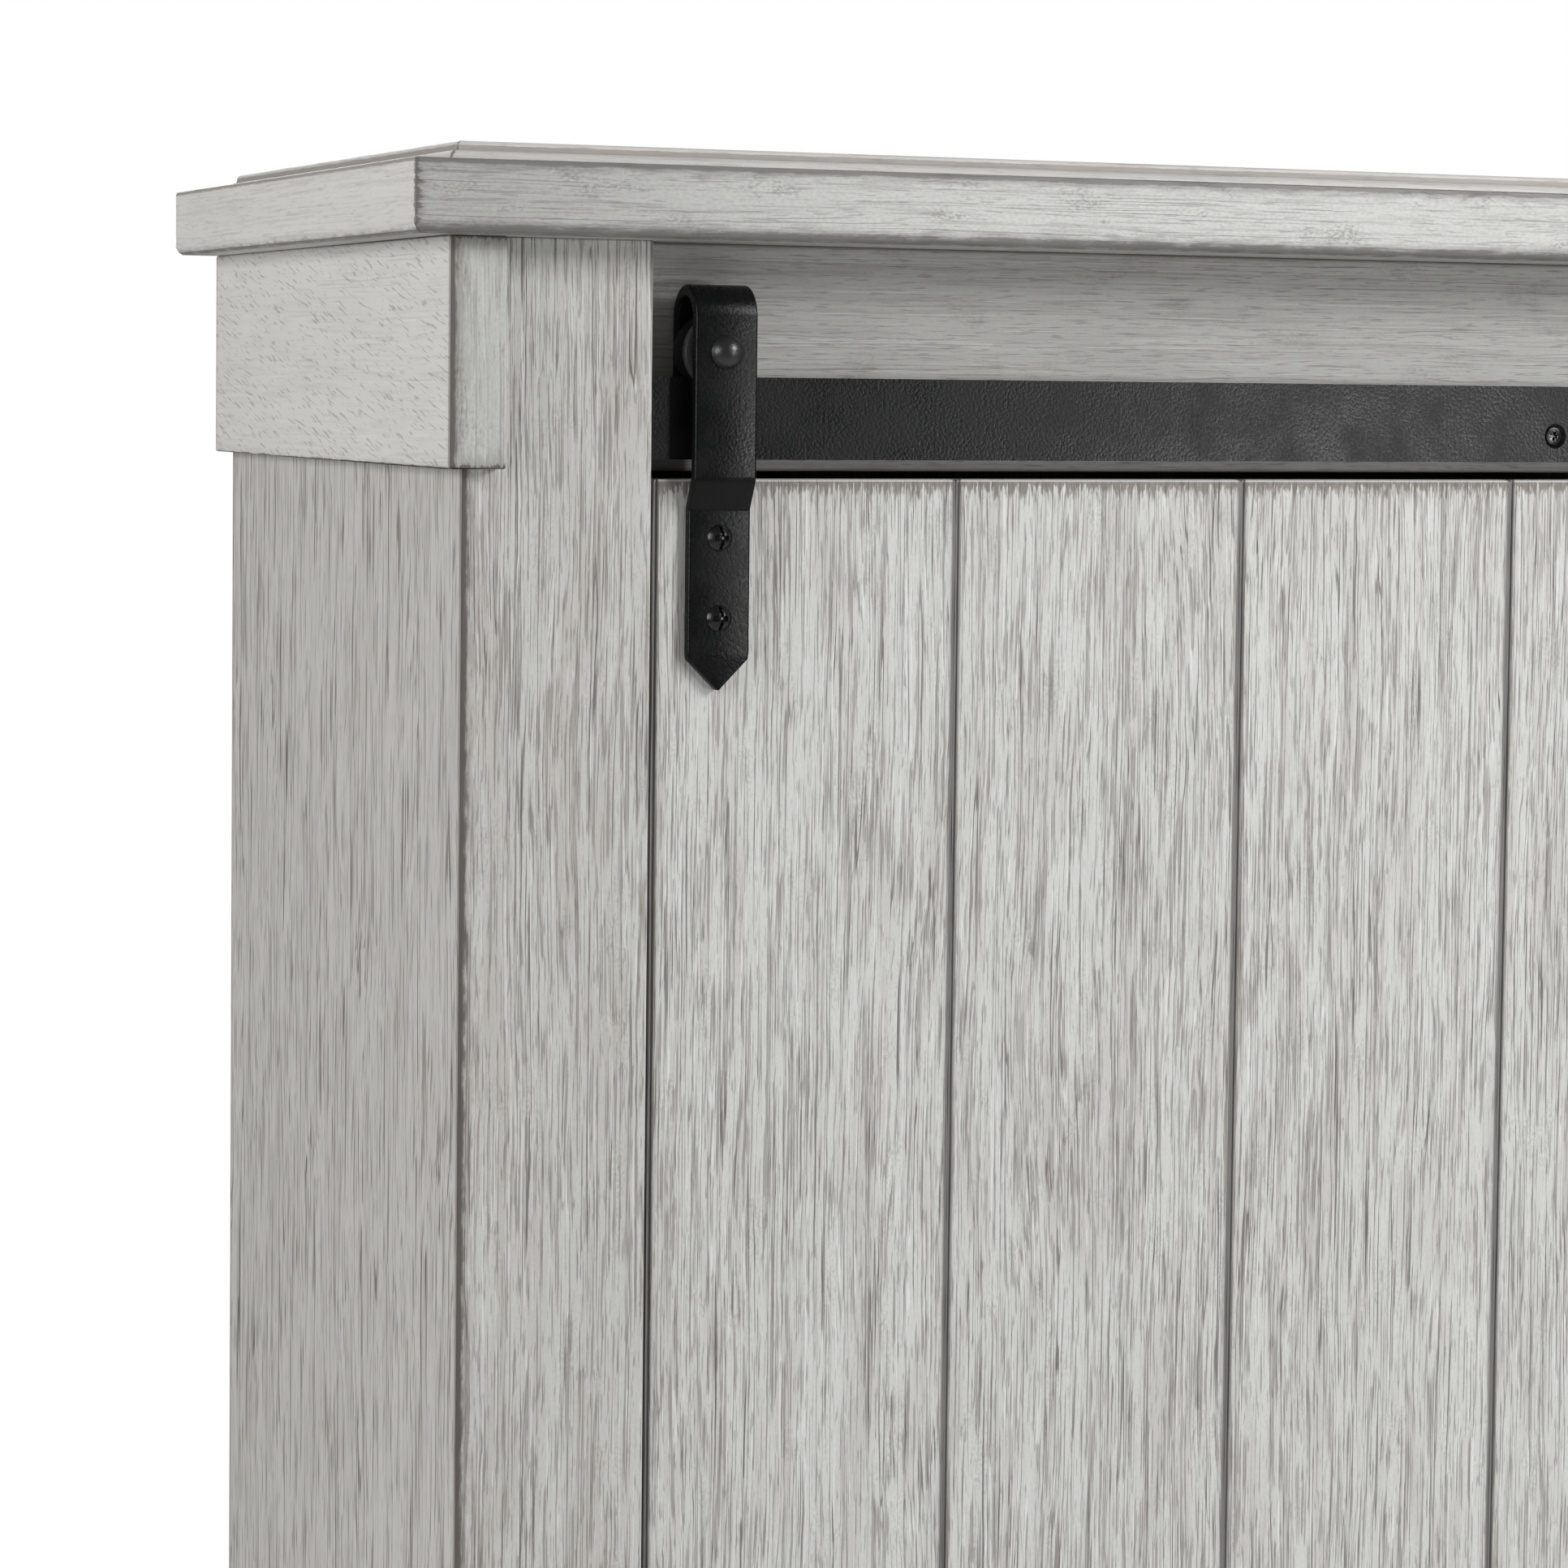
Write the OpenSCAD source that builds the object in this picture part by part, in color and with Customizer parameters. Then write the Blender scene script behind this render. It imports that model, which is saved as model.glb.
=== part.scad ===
// Wardrobe with one barn-style sliding door that hangs inside the case
// front from two strap hangers, each with a grooved roller on a flat bar.
// Millimetres.  X runs along the front, Y from front to back, Z up.  The
// origin is at the middle of the footprint, on the floor.
// Wooden parts are laid out from the outer left corner of the case, in
// "case" coordinates, and in_case() carries them to the origin.

/* [Case] */
// Width across the outer faces of the side panels
case_w = 1216; // [1120:8:1400]
// Depth from the stile faces to the back edge
case_d = 412; // [380:4:520]
// Height from the floor to the top board
total_h = 1830; // [1700:10:2000]
// Width of each front stile
stile_w = 96; // [86:1:120]
// Thickness of the stiles and the bottom rail
stile_t = 25; // [25:0.5:28]
// Thickness of the side panels
panel_t = 20; // [18:1:22]
// Height of the frieze rail below the top slab
frieze_h = 111; // [110:0.5:113]
// Thickness of the frieze rail
frieze_t = 22; // [20:1:25]
// Height of the bottom rail's upper edge above the floor
floor_h = 104; // [98:1:120]
// Thickness of the bottom board
floor_t = 20; // [18:1:22]

/* [Top] */
// Thickness of the top slab
slab_t = 35; // [30:1:40]
// Overhang of the slab beyond the stile faces
slab_front = 29; // [29:1:36]
// Overhang of the slab beyond each side panel
slab_side = 33; // [24:1:40]
// Chamfer along the slab's lower edge
slab_low_edge = 4; // [2:0.5:6]
// Chamfer along the slab's upper edge
slab_top_edge = 1.5; // [1:0.5:3]
// Thickness of the moulded board on the slab
board_t = 10.5; // [10:0.5:14]
// Setback of the moulded board from the slab's front edge
board_front = 39; // [30:1:48]
// Setback of the moulded board from the slab's side edges
board_side = 30; // [24:1:44]

/* [Corner caps] */
// Height of the boards that wrap the upper corners
cap_h = 109.5; // [100:0.5:112]
// Thickness of the cap board on each side
cap_side_t = 10; // [8:1:14]
// Thickness of the cap block on the front
cap_front_t = 12; // [8:1:16]
// Width of the cap block, seen from the front
cap_block_w = 28.5; // [24:0.5:36]

/* [Door] */
// Width of one plank
plank_w = 161; // [150:1:165]
// Thickness of the planks
plank_t = 20; // [18:0.5:20]
// Gap between the door and a stile
side_gap = 2.5; // [2.2:0.1:4]
// Distance of the door face behind the stile faces
door_recess = 3; // [2.5:0.1:4]
// Distance of the door's top edge below the slab
door_drop = 114.5; // [114:0.1:116]
// Gap between the door and the bottom rail
door_lift = 4; // [4:0.5:6]
// Width of the bevel beside each joint between planks
bevel_w = 1.9; // [1:0.1:3]
// Depth of the bevel beside each joint between planks
bevel_d = 3; // [2:0.1:4]
// Height of the three ledges behind the planks
ledge_h = 90; // [60:2:96]
// Thickness of the ledges
ledge_t = 12; // [10:1:13]

/* [Hangers] */
// Width of the strap
strap_w = 32; // [28:1:36]
// Thickness of the strap
strap_t = 6; // [5:0.5:6]
// Depth of the strap's upper bend over its outside
strap_bend_d = 32; // [32:0.5:33]
// Distance from the door's edge to the middle of a strap
strap_inset = 32; // [28:1:60]
// Diameter of the domed bolt head
dome_d = 16.5; // [14:0.5:18]
// Diameter of the axle
axle_d = 8; // [6:0.5:10]
// Diameter of the roller's flanges
flange_d = 37.4; // [34:0.2:39]
// Diameter of the roller's tread, inside the groove
tread_d = 23.4; // [22:0.2:23.6]
// Width of the roller
roller_w = 17.6; // [16:0.1:17.8]

/* [Track] */
// Height of the flat bar
rail_h = 40; // [36:1:40]
// Thickness of the flat bar
rail_t = 6; // [5:0.5:6]
// Distance of the bar's upper edge below the slab
rail_drop = 65; // [64.5:0.5:66]
// Distance of the bar's screws below its upper edge
rail_screw_drop = 26.2; // [24:0.2:28]
// Number of screws along the bar
rail_screws = 3; // [2:1:5]

/* [Interior] */
// Width of the hanging bay behind the door, from the stile
bay_w = 640; // [600:5:645]
// Thickness of the partition and the shelves
shelf_t = 18; // [16:1:20]
// Height of the fixed upper shelf in the hanging bay
hat_shelf_z = 1430; // [1300:10:1450]
// Diameter of the hanging rod
rod_d = 25; // [22:1:30]
// Height of the hanging rod
rod_z = 1365; // [1200:5:1370]

/* [Pull] */
// Length of the door pull
pull_l = 250; // [200:10:300]
// Width of the door pull
pull_w = 22; // [18:1:28]
// Thickness of the pull's flat bar
pull_t = 6; // [5:0.5:8]
// Height of the middle of the pull
pull_z = 1050; // [1040:10:1100]

/* [Feet] */
// Height of the levelling feet
foot_h = 8; // [6:1:12]
// Diameter of the levelling feet
foot_d = 40; // [32:1:50]

/* [Hidden] */

// Colours of the finishes
front_wood = [0.70, 0.69, 0.67];
side_wood = [0.76, 0.75, 0.73];
inner_wood = [0.62, 0.60, 0.57];
black_iron = [0.09, 0.09, 0.09];
screw_black = [0.14, 0.14, 0.14];
rod_steel = [0.55, 0.55, 0.56];
soft_black = [0.05, 0.05, 0.05];

round_fn = 64;
hole_play = 0.1;
plank_count = 4;
shelf_count = 4;
through = 1;

// Frame: case coordinates start at the outer left corner of the case,
// on the stile faces
origin_x = -case_w / 2;
face_y = -(case_d + slab_front) / 2 + slab_front;
slab_z = total_h - board_t - slab_t;

// Opening between the stiles
open_l = stile_w;
open_r = case_w - stile_w;
open_w = open_r - open_l;

// Door
door_w = plank_count * plank_w;
door_l = open_l + side_gap;
door_top = slab_z - door_drop;
door_bottom = floor_h + door_lift;
door_h = door_top - door_bottom;
door_back = door_recess + plank_t;
tongue_t = 6;
tongue_l = 6;
tongue_play = 0.2;
guide_slot_w = 7;
guide_slot_h = 12;
guide_mid_y = door_recess + plank_t / 2;
ledge_end = 30;
ledge_edge = 3;
ledge_l = door_w - 2 * ledge_end;
ledge_margin = 45;
ledge_zs = [
    door_top - ledge_margin - ledge_h,
    (door_top + door_bottom - ledge_h) / 2,
    door_bottom + ledge_margin
];
ledge_screw_r = 2;
ledge_screw_head_r = 4;
ledge_screw_l = 26;

// Hanger
strap_front = door_recess - strap_t - 7.3;
strap_back = strap_front + strap_bend_d;
wheel_y = strap_front + strap_bend_d / 2;
bend_r = strap_bend_d / 2;
axle_rise = 12;
rail_top = slab_z - rail_drop;
axle_z = rail_top + axle_rise;
strap_top = slab_z - 20.5;
back_leg_end = axle_z - 21;
joggle_top = slab_z - 114;
joggle_end = slab_z - 128.5;
strap_tip = slab_z - 217;
hanger_screw_drops = [142.7, 181.7];
hanger_screw_r = 2.5;
hanger_head_d = 13;
hanger_head_h = 4;
strap_mids = [door_l + strap_inset, door_l + door_w - strap_inset];
washer_t = 0.9;
bush_r = 6;
groove_w = 7.2;
groove_rim_w = 9.4;

// Track
rail_play = 1;
rail_front = wheel_y - rail_t / 2;
rail_back = rail_front + rail_t;
frieze_y = stile_t;
spacer_r = 7;
track_screw_r = 2.5;
track_head_r = 6.5;
track_screw_end = frieze_y + 18;
rail_end_inset = 34;
rail_screw_z = rail_top - rail_screw_drop;
rail_screw_xs = [
    for (i = [0 : rail_screws - 1])
        open_l + rail_end_inset + i * (open_w - 2 * rail_end_inset) / (rail_screws - 1)
];

// Interior
inner_l = panel_t;
inner_r = case_w - panel_t;
inner_front = door_back + ledge_t + 5;
back_panel_t = 6;
back_panel_y = case_d - 10;
back_rail_t = 18;
back_rail_h = 80;
part_x = open_l + bay_w - shelf_t / 2;
part_r = part_x + shelf_t;
shelf_play = 1;
shelf_front = inner_front + 14;
shelf_zs = [
    for (i = [1 : shelf_count])
        floor_h + i * (slab_z - floor_h) / (shelf_count + 1) - shelf_t / 2
];
pin_r = 2.5;
pin_in = 8;
pin_out = 9;
pin_ys = [shelf_front + 35, back_panel_y - 45];
cleat = 20;
rod_y = (inner_front + back_panel_y) / 2;
rod_wall = 1.5;
socket_t = 3;
socket_r = rod_d / 2 + 10;
socket_cup_l = 12;
socket_cup_t = 2.5;
socket_screw_r = 1.8;
socket_screw_at = rod_d / 2 + 6;
block = 60;
foot_stem_r = 4;
foot_stem_l = 40;
foot_xs = [inner_l + block / 2, inner_r - block / 2];
foot_ys = [stile_t + block / 2, back_panel_y - back_rail_t - block / 2];
glue_block = 40;
glue_ys = [frieze_y + frieze_t + block / 2, foot_ys[1]];

// Floor guide
guide_plate = [90, 18, 3];
guide_fin_l = 50;
guide_fin_t = 5;
guide_fin_h = 9;
guide_screw_at = 35;
guide_screw_r = 1.9;
guide_head_r = 3.6;
guide_screw_l = 20;
guide_x = case_w / 2;

// Bumpers
bumper_r = 5;
bumper_t = 1.5;
bumper_zs = [door_bottom + 180, door_top - 180];

// Pull
pull_x = door_l + door_w - 50;
pull_reach = 28;
pull_front = door_recess - pull_reach;
pull_post_r = 6;
pull_post_at = pull_l / 2 - 25;
pull_screw_r = 2.5;
pull_head_r = 4.5;
pull_head_h = 3;

// Carries case coordinates to the frame of the part
module in_case() {
    translate([origin_x, face_y, 0])
        children();
}

// Draws a piece of the left side, or its mirror image on the right side
module on_side(right) {
    if (right)
        mirror([1, 0, 0])
            in_case()
                children();
    else
        in_case()
            children();
}

// Cylinder along Y from y0 to y1
module along_y(r, y0, y1, x, z) {
    translate([x, y1, z])
        rotate([90, 0, 0])
            cylinder(r = r, h = y1 - y0, $fn = round_fn);
}

// Cylinder along X from x0 to x1
module along_x(r, x0, x1, y, z) {
    translate([x0, y, z])
        rotate([0, 90, 0])
            cylinder(r = r, h = x1 - x0, $fn = round_fn);
}

// Box between two corners
module span(low, high) {
    translate(low)
        cube(high - low);
}

// Countersunk screw along +Y: its head is flush at y0
module sunk_screw(head_r, r, y0, y1, x, z) {
    translate([x, y0, z])
        rotate([-90, 0, 0]) {
            cylinder(r1 = head_r, r2 = r, h = head_r - r, $fn = round_fn);
            cylinder(r = r, h = y1 - y0, $fn = round_fn);
        }
}

// Outline of a cross recess, cut into a screw head
module cross_recess(arm, wide, deep) {
    translate([-arm / 2, -wide / 2, -deep])
        cube([arm, wide, 2 * deep]);
    translate([-wide / 2, -arm / 2, -deep])
        cube([wide, arm, 2 * deep]);
}

// Spherical cap of a given base radius and height, standing on Z = 0
module cap(base_r, height) {
    ball_r = (base_r * base_r + height * height) / (2 * height);
    intersection() {
        translate([0, 0, height - ball_r])
            sphere(r = ball_r, $fn = round_fn);
        cylinder(r = base_r + through, h = height + through, $fn = round_fn);
    }
}

// ---- Case ----

module side_panel(right) {
    color(side_wood)
        on_side(right)
            difference() {
                translate([0, 0, foot_h])
                    linear_extrude(slab_z - foot_h)
                        polygon([[0, 0], [panel_t, stile_t], [panel_t, case_d], [0, case_d]]);
                if (right)
                    pin_holes(panel_t, false);
                socket_screw_holes(right, panel_t);
            }
}

module left_side_panel() side_panel(false);
module right_side_panel() side_panel(true);

// Blind holes for the shelf pins in a face at x, drilled to one side of it
module pin_holes(x, into_plus) {
    for (z = shelf_zs, y = pin_ys)
        if (into_plus)
            along_x(pin_r + hole_play, x - through, x + pin_in + hole_play, y, z - pin_r);
        else
            along_x(pin_r + hole_play, x - pin_in - hole_play, x + through, y, z - pin_r);
}

// Screw holes behind the rod sockets; the right side panel has none
module socket_screw_holes(right, x) {
    if (!right)
        for (side = [-1, 1])
            along_x(
                socket_screw_r + hole_play,
                x - pin_in - hole_play,
                x + through,
                rod_y + side * socket_screw_at,
                rod_z
            );
}

module stile(right) {
    color(front_wood)
        on_side(right)
            translate([0, 0, foot_h])
                linear_extrude(slab_z - foot_h)
                    polygon([[0, 0], [stile_w, 0], [stile_w, stile_t], [panel_t, stile_t]]);
}

module left_stile() stile(false);
module right_stile() stile(true);

module frieze_rail() {
    color(front_wood)
        in_case()
            difference() {
                span([inner_l, frieze_y, slab_z - frieze_h], [inner_r, frieze_y + frieze_t, slab_z]);
                for (x = rail_screw_xs)
                    along_y(
                        track_screw_r + hole_play,
                        frieze_y - through,
                        track_screw_end + hole_play,
                        x,
                        rail_screw_z
                    );
            }
}

module bottom_rail() {
    color(front_wood)
        in_case()
            difference() {
                span([open_l, 0, foot_h], [open_r, stile_t, floor_h]);
                for (side = [-1, 1])
                    translate([
                        guide_x + side * guide_screw_at,
                        guide_mid_y,
                        floor_h - guide_screw_l
                    ])
                        cylinder(r = guide_screw_r + hole_play, h = guide_screw_l + through, $fn = round_fn);
            }
}

module top_slab() {
    side_l = -slab_side;
    side_r = case_w + slab_side;
    color(front_wood)
        in_case()
            translate([0, 0, slab_z])
                intersection() {
                    translate([side_l, 0, 0])
                        rotate([90, 0, 90])
                            linear_extrude(side_r - side_l)
                                polygon([
                                    [-slab_front + slab_low_edge, 0],
                                    [case_d, 0],
                                    [case_d, slab_t],
                                    [-slab_front + slab_top_edge, slab_t],
                                    [-slab_front, slab_t - slab_top_edge],
                                    [-slab_front, slab_low_edge]
                                ]);
                    translate([0, case_d, 0])
                        rotate([90, 0, 0])
                            linear_extrude(case_d + slab_front)
                                polygon([
                                    [side_l + slab_low_edge, 0],
                                    [side_r - slab_low_edge, 0],
                                    [side_r, slab_low_edge],
                                    [side_r, slab_t - slab_top_edge],
                                    [side_r - slab_top_edge, slab_t],
                                    [side_l + slab_top_edge, slab_t],
                                    [side_l, slab_t - slab_top_edge],
                                    [side_l, slab_low_edge]
                                ]);
                }
}

// Moulded edge as [inset, height]: a fillet, a quarter round, a small step
// and a rounded upper corner
board_base = 1.5;
board_round = 4.5;
board_step = 0.6;
board_crown = 2.5;
arc_steps = 6;
board_edge = concat(
    [[0, 0]],
    [
        for (i = [0 : arc_steps])
            [
                board_round * (1 - cos(90 * i / arc_steps)),
                board_base + board_round * sin(90 * i / arc_steps)
            ]
    ],
    [
        for (i = [0 : arc_steps])
            [
                board_round + board_step + board_crown * (1 - cos(90 * i / arc_steps)),
                board_t - board_crown + board_crown * sin(90 * i / arc_steps)
            ]
    ]
);

module top_board() {
    front = -slab_front + board_front;
    left = -slab_side + board_side;
    wide = case_w - 2 * left;
    color(front_wood)
        in_case()
            translate([0, 0, slab_z + slab_t])
                intersection() {
                    translate([left, 0, 0])
                        rotate([90, 0, 90])
                            linear_extrude(wide)
                                polygon(concat(
                                    [for (p = board_edge) [front + p[0], p[1]]],
                                    [[case_d, board_t], [case_d, 0]]
                                ));
                    translate([0, case_d, 0])
                        rotate([90, 0, 0])
                            linear_extrude(case_d - front)
                                polygon(concat(
                                    [for (p = board_edge) [left + p[0], p[1]]],
                                    [
                                        for (i = [len(board_edge) - 1 : -1 : 0])
                                            [left + wide - board_edge[i][0], board_edge[i][1]]
                                    ]
                                ));
                }
}

module cap_board(right) {
    color(side_wood)
        on_side(right)
            translate([0, 0, slab_z - cap_h])
                linear_extrude(cap_h)
                    polygon([
                        [-cap_side_t, -cap_front_t],
                        [0, 0],
                        [0, case_d],
                        [-cap_side_t, case_d]
                    ]);
}

module left_cap_board() cap_board(false);
module right_cap_board() cap_board(true);

module cap_block(right) {
    color(front_wood)
        on_side(right)
            translate([0, 0, slab_z - cap_h])
                linear_extrude(cap_h)
                    polygon([
                        [-cap_side_t, -cap_front_t],
                        [cap_block_w - cap_side_t, -cap_front_t],
                        [cap_block_w - cap_side_t, 0],
                        [0, 0]
                    ]);
}

module left_cap_block() cap_block(false);
module right_cap_block() cap_block(true);

module centre_partition() {
    frieze_back = frieze_y + frieze_t;
    rail_y = back_panel_y - back_rail_t;
    color(inner_wood)
        in_case()
            difference() {
                translate([part_x, 0, 0])
                    rotate([90, 0, 90])
                        linear_extrude(shelf_t)
                            polygon([
                                [inner_front, floor_h],
                                [back_panel_y, floor_h],
                                [back_panel_y, slab_z - back_rail_h],
                                [rail_y, slab_z - back_rail_h],
                                [rail_y, slab_z],
                                [frieze_back, slab_z],
                                [frieze_back, slab_z - frieze_h],
                                [inner_front, slab_z - frieze_h]
                            ]);
                pin_holes(part_r, false);
                for (side = [-1, 1])
                    along_x(
                        socket_screw_r + hole_play,
                        part_x - through,
                        part_x + pin_in + hole_play,
                        rod_y + side * socket_screw_at,
                        rod_z
                    );
            }
}

module bottom_board() {
    color(inner_wood)
        in_case()
            span([inner_l, stile_t, floor_h - floor_t], [inner_r, back_panel_y, floor_h]);
}

module back_panel() {
    color(inner_wood)
        in_case()
            span([inner_l, back_panel_y, foot_h], [inner_r, back_panel_y + back_panel_t, slab_z]);
}

module back_top_rail() {
    color(inner_wood)
        in_case()
            span(
                [inner_l, back_panel_y - back_rail_t, slab_z - back_rail_h],
                [inner_r, back_panel_y, slab_z]
            );
}

module back_bottom_rail() {
    color(inner_wood)
        in_case()
            span(
                [inner_l, back_panel_y - back_rail_t, foot_h],
                [inner_r, back_panel_y, floor_h - floor_t]
            );
}

module foot_blocks() {
    color(inner_wood)
        in_case()
            for (x = foot_xs, y = foot_ys)
                difference() {
                    span(
                        [x - block / 2, y - block / 2, foot_h],
                        [x + block / 2, y + block / 2, floor_h - floor_t]
                    );
                    translate([x, y, 0])
                        cylinder(r = foot_stem_r + hole_play, h = foot_h + foot_stem_l, $fn = round_fn);
                }
}

module levelling_feet() {
    rim = 2;
    color(soft_black)
        in_case()
            for (x = foot_xs, y = foot_ys)
                translate([x, y, 0]) {
                    cylinder(r1 = foot_d / 2 - rim, r2 = foot_d / 2, h = rim, $fn = round_fn);
                    translate([0, 0, rim])
                        cylinder(r = foot_d / 2, h = foot_h - rim, $fn = round_fn);
                    cylinder(r = foot_stem_r, h = foot_h + foot_stem_l - rim, $fn = round_fn);
                }
}

// Triangular blocks that tie the slab to the side panels
module glue_blocks() {
    color(inner_wood)
        for (right = [false, true], y = glue_ys)
            on_side(right)
                translate([panel_t, y + block / 2, slab_z])
                    rotate([90, 0, 0])
                        linear_extrude(block)
                            polygon([[0, 0], [0, -glue_block], [glue_block, 0]]);
}

// ---- Interior ----

module hat_shelf() {
    color(inner_wood)
        in_case()
            span(
                [inner_l, frieze_y + frieze_t, hat_shelf_z],
                [part_x, back_panel_y, hat_shelf_z + shelf_t]
            );
}

module hat_shelf_cleats() {
    y0 = frieze_y + frieze_t + cleat;
    y1 = back_panel_y - cleat;
    color(inner_wood)
        in_case() {
            span([inner_l, y0, hat_shelf_z - cleat], [inner_l + cleat, y1, hat_shelf_z]);
            span([part_x - cleat, y0, hat_shelf_z - cleat], [part_x, y1, hat_shelf_z]);
        }
}

module hanging_rod() {
    x0 = inner_l + socket_t + hole_play;
    x1 = part_x - socket_t - hole_play;
    color(rod_steel)
        in_case()
            difference() {
                along_x(rod_d / 2, x0, x1, rod_y, rod_z);
                along_x(rod_d / 2 - rod_wall, x0 - through, x1 + through, rod_y, rod_z);
            }
}

// One rod socket on the plane X = 0, its cup along +X
module rod_socket() {
    cup_r = rod_d / 2 + 0.3;
    difference() {
        union() {
            along_x(socket_r, 0, socket_t, 0, 0);
            along_x(cup_r + socket_cup_t, 0, socket_cup_l, 0, 0);
        }
        along_x(cup_r, socket_t, socket_cup_l + through, 0, 0);
        for (side = [-1, 1])
            along_x(socket_screw_r + hole_play, -through, socket_t + through, side * socket_screw_at, 0);
    }
}

module rod_sockets() {
    color(screw_black)
        in_case() {
            translate([inner_l, rod_y, rod_z])
                rod_socket();
            translate([part_x, rod_y, rod_z])
                mirror([1, 0, 0])
                    rod_socket();
        }
}

// One small pan-head screw along -X from the plane X = 0
module small_screw() {
    along_x(socket_screw_r, -socket_t - pin_in, 0, 0, 0);
    rotate([0, 90, 0])
        cap(3, 1.6);
}

module rod_socket_screws() {
    color(screw_black)
        in_case()
            for (side = [-1, 1]) {
                translate([inner_l + socket_t, rod_y + side * socket_screw_at, rod_z])
                    small_screw();
                translate([part_x - socket_t, rod_y + side * socket_screw_at, rod_z])
                    mirror([1, 0, 0])
                        small_screw();
            }
}

module shelf(index) {
    color(inner_wood)
        in_case()
            span(
                [part_r + shelf_play, shelf_front, shelf_zs[index]],
                [inner_r - shelf_play, back_panel_y - shelf_play, shelf_zs[index] + shelf_t]
            );
}

module shelf_1() shelf(0);
module shelf_2() shelf(1);
module shelf_3() shelf(2);
module shelf_4() shelf(3);

module shelf_pins() {
    color(rod_steel)
        in_case()
            for (z = shelf_zs, y = pin_ys) {
                along_x(pin_r, part_r - pin_in, part_r + pin_out, y, z - pin_r);
                along_x(pin_r, inner_r - pin_out, inner_r + pin_in, y, z - pin_r);
            }
}

// ---- Track ----

module track_rail() {
    color(black_iron)
        in_case()
            difference() {
                span(
                    [open_l + rail_play, rail_front, rail_top - rail_h],
                    [open_r - rail_play, rail_back, rail_top]
                );
                for (x = rail_screw_xs)
                    sunk_screw(
                        track_head_r + hole_play,
                        track_screw_r + hole_play,
                        rail_front,
                        rail_back + through,
                        x,
                        rail_screw_z
                    );
            }
}

module track_spacers() {
    color(black_iron)
        in_case()
            for (x = rail_screw_xs)
                difference() {
                    along_y(spacer_r, rail_back, frieze_y, x, rail_screw_z);
                    along_y(track_screw_r + hole_play, rail_back - through, frieze_y + through, x, rail_screw_z);
                }
}

module track_screws() {
    color(screw_black)
        in_case()
            for (x = rail_screw_xs)
                difference() {
                    sunk_screw(track_head_r, track_screw_r, rail_front, track_screw_end, x, rail_screw_z);
                    translate([x, rail_front, rail_screw_z])
                        rotate([90, 0, 0])
                            cross_recess(6.6, 1.6, 2.6);
                }
}

module door_bumpers() {
    color(soft_black)
        in_case()
            for (z = bumper_zs) {
                along_x(bumper_r, open_l, open_l + bumper_t, guide_mid_y, z);
                along_x(bumper_r, open_r - bumper_t, open_r, guide_mid_y, z);
            }
}

module floor_guide() {
    color(soft_black)
        in_case()
            translate([guide_x, guide_mid_y, floor_h])
                difference() {
                    union() {
                        translate([-guide_plate[0] / 2, -guide_plate[1] / 2, 0])
                            cube(guide_plate);
                        translate([-guide_fin_l / 2, -guide_fin_t / 2, 0])
                            cube([guide_fin_l, guide_fin_t, guide_plate[2] + guide_fin_h]);
                    }
                    for (side = [-1, 1])
                        translate([side * guide_screw_at, 0, guide_plate[2]])
                            rotate([-90, 0, 0])
                                sunk_screw(
                                    guide_head_r + hole_play,
                                    guide_screw_r + hole_play,
                                    0,
                                    guide_plate[2] + through,
                                    0,
                                    0
                                );
                }
}

module floor_guide_screws() {
    color(screw_black)
        in_case()
            for (side = [-1, 1])
                translate([guide_x + side * guide_screw_at, guide_mid_y, floor_h + guide_plate[2]])
                    rotate([-90, 0, 0])
                        sunk_screw(guide_head_r, guide_screw_r, 0, guide_screw_l, 0, 0);
}

// ---- Door ----

// Plank section: bevelled face edges, a tongue on the right, a slot on the
// left; the outer planks have square outer edges
module plank_section(index) {
    first = index == 0;
    last = index == plank_count - 1;
    mid_t = plank_t / 2;
    difference() {
        union() {
            polygon([
                [0, bevel_d],
                [bevel_w, 0],
                [plank_w - bevel_w, 0],
                [plank_w, bevel_d],
                [plank_w, plank_t],
                [0, plank_t]
            ]);
            if (!last)
                translate([plank_w - through, mid_t - tongue_t / 2])
                    square([tongue_l + through, tongue_t]);
        }
        if (!first)
            translate([-through, mid_t - tongue_t / 2 - tongue_play])
                square([tongue_l + through + tongue_play, tongue_t + 2 * tongue_play]);
    }
}

module door_plank(index) {
    x0 = door_l + index * plank_w;
    color(front_wood)
        in_case()
            difference() {
                translate([x0, door_recess, door_bottom])
                    linear_extrude(door_h)
                        plank_section(index);
                translate([x0 - through, guide_mid_y - guide_slot_w / 2, door_bottom - through])
                    cube([plank_w + tongue_l + 2 * through, guide_slot_w, guide_slot_h + through]);
                for (z = ledge_zs, p = ledge_screw_places(index))
                    along_y(
                        ledge_screw_r + hole_play,
                        door_back + ledge_t - ledge_screw_l - hole_play,
                        door_back + through,
                        p[0],
                        z + p[1]
                    );
                if (index == 0)
                    hanger_screw_holes(strap_mids[0]);
                if (index == plank_count - 1)
                    hanger_screw_holes(strap_mids[1]);
                if (index == plank_count - 1)
                    for (side = [-1, 1])
                        along_y(
                            pull_screw_r + hole_play,
                            door_recess - through,
                            door_back + through,
                            pull_x,
                            pull_z + side * pull_post_at
                        );
            }
}

// Screw places of one plank on a ledge, as [x, height above the ledge's edge]
function ledge_screw_places(index) = [
    for (s = [0, 1])
        [door_l + (index + 0.3 + 0.4 * s) * plank_w, ledge_h * (0.3 + 0.4 * s)]
];

// Holes in a plank for the two screws of a strap
module hanger_screw_holes(x) {
    for (drop = hanger_screw_drops)
        along_y(
            hanger_screw_r + hole_play,
            door_recess - through,
            door_recess + plank_t - 4,
            x,
            slab_z - drop
        );
}

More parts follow.
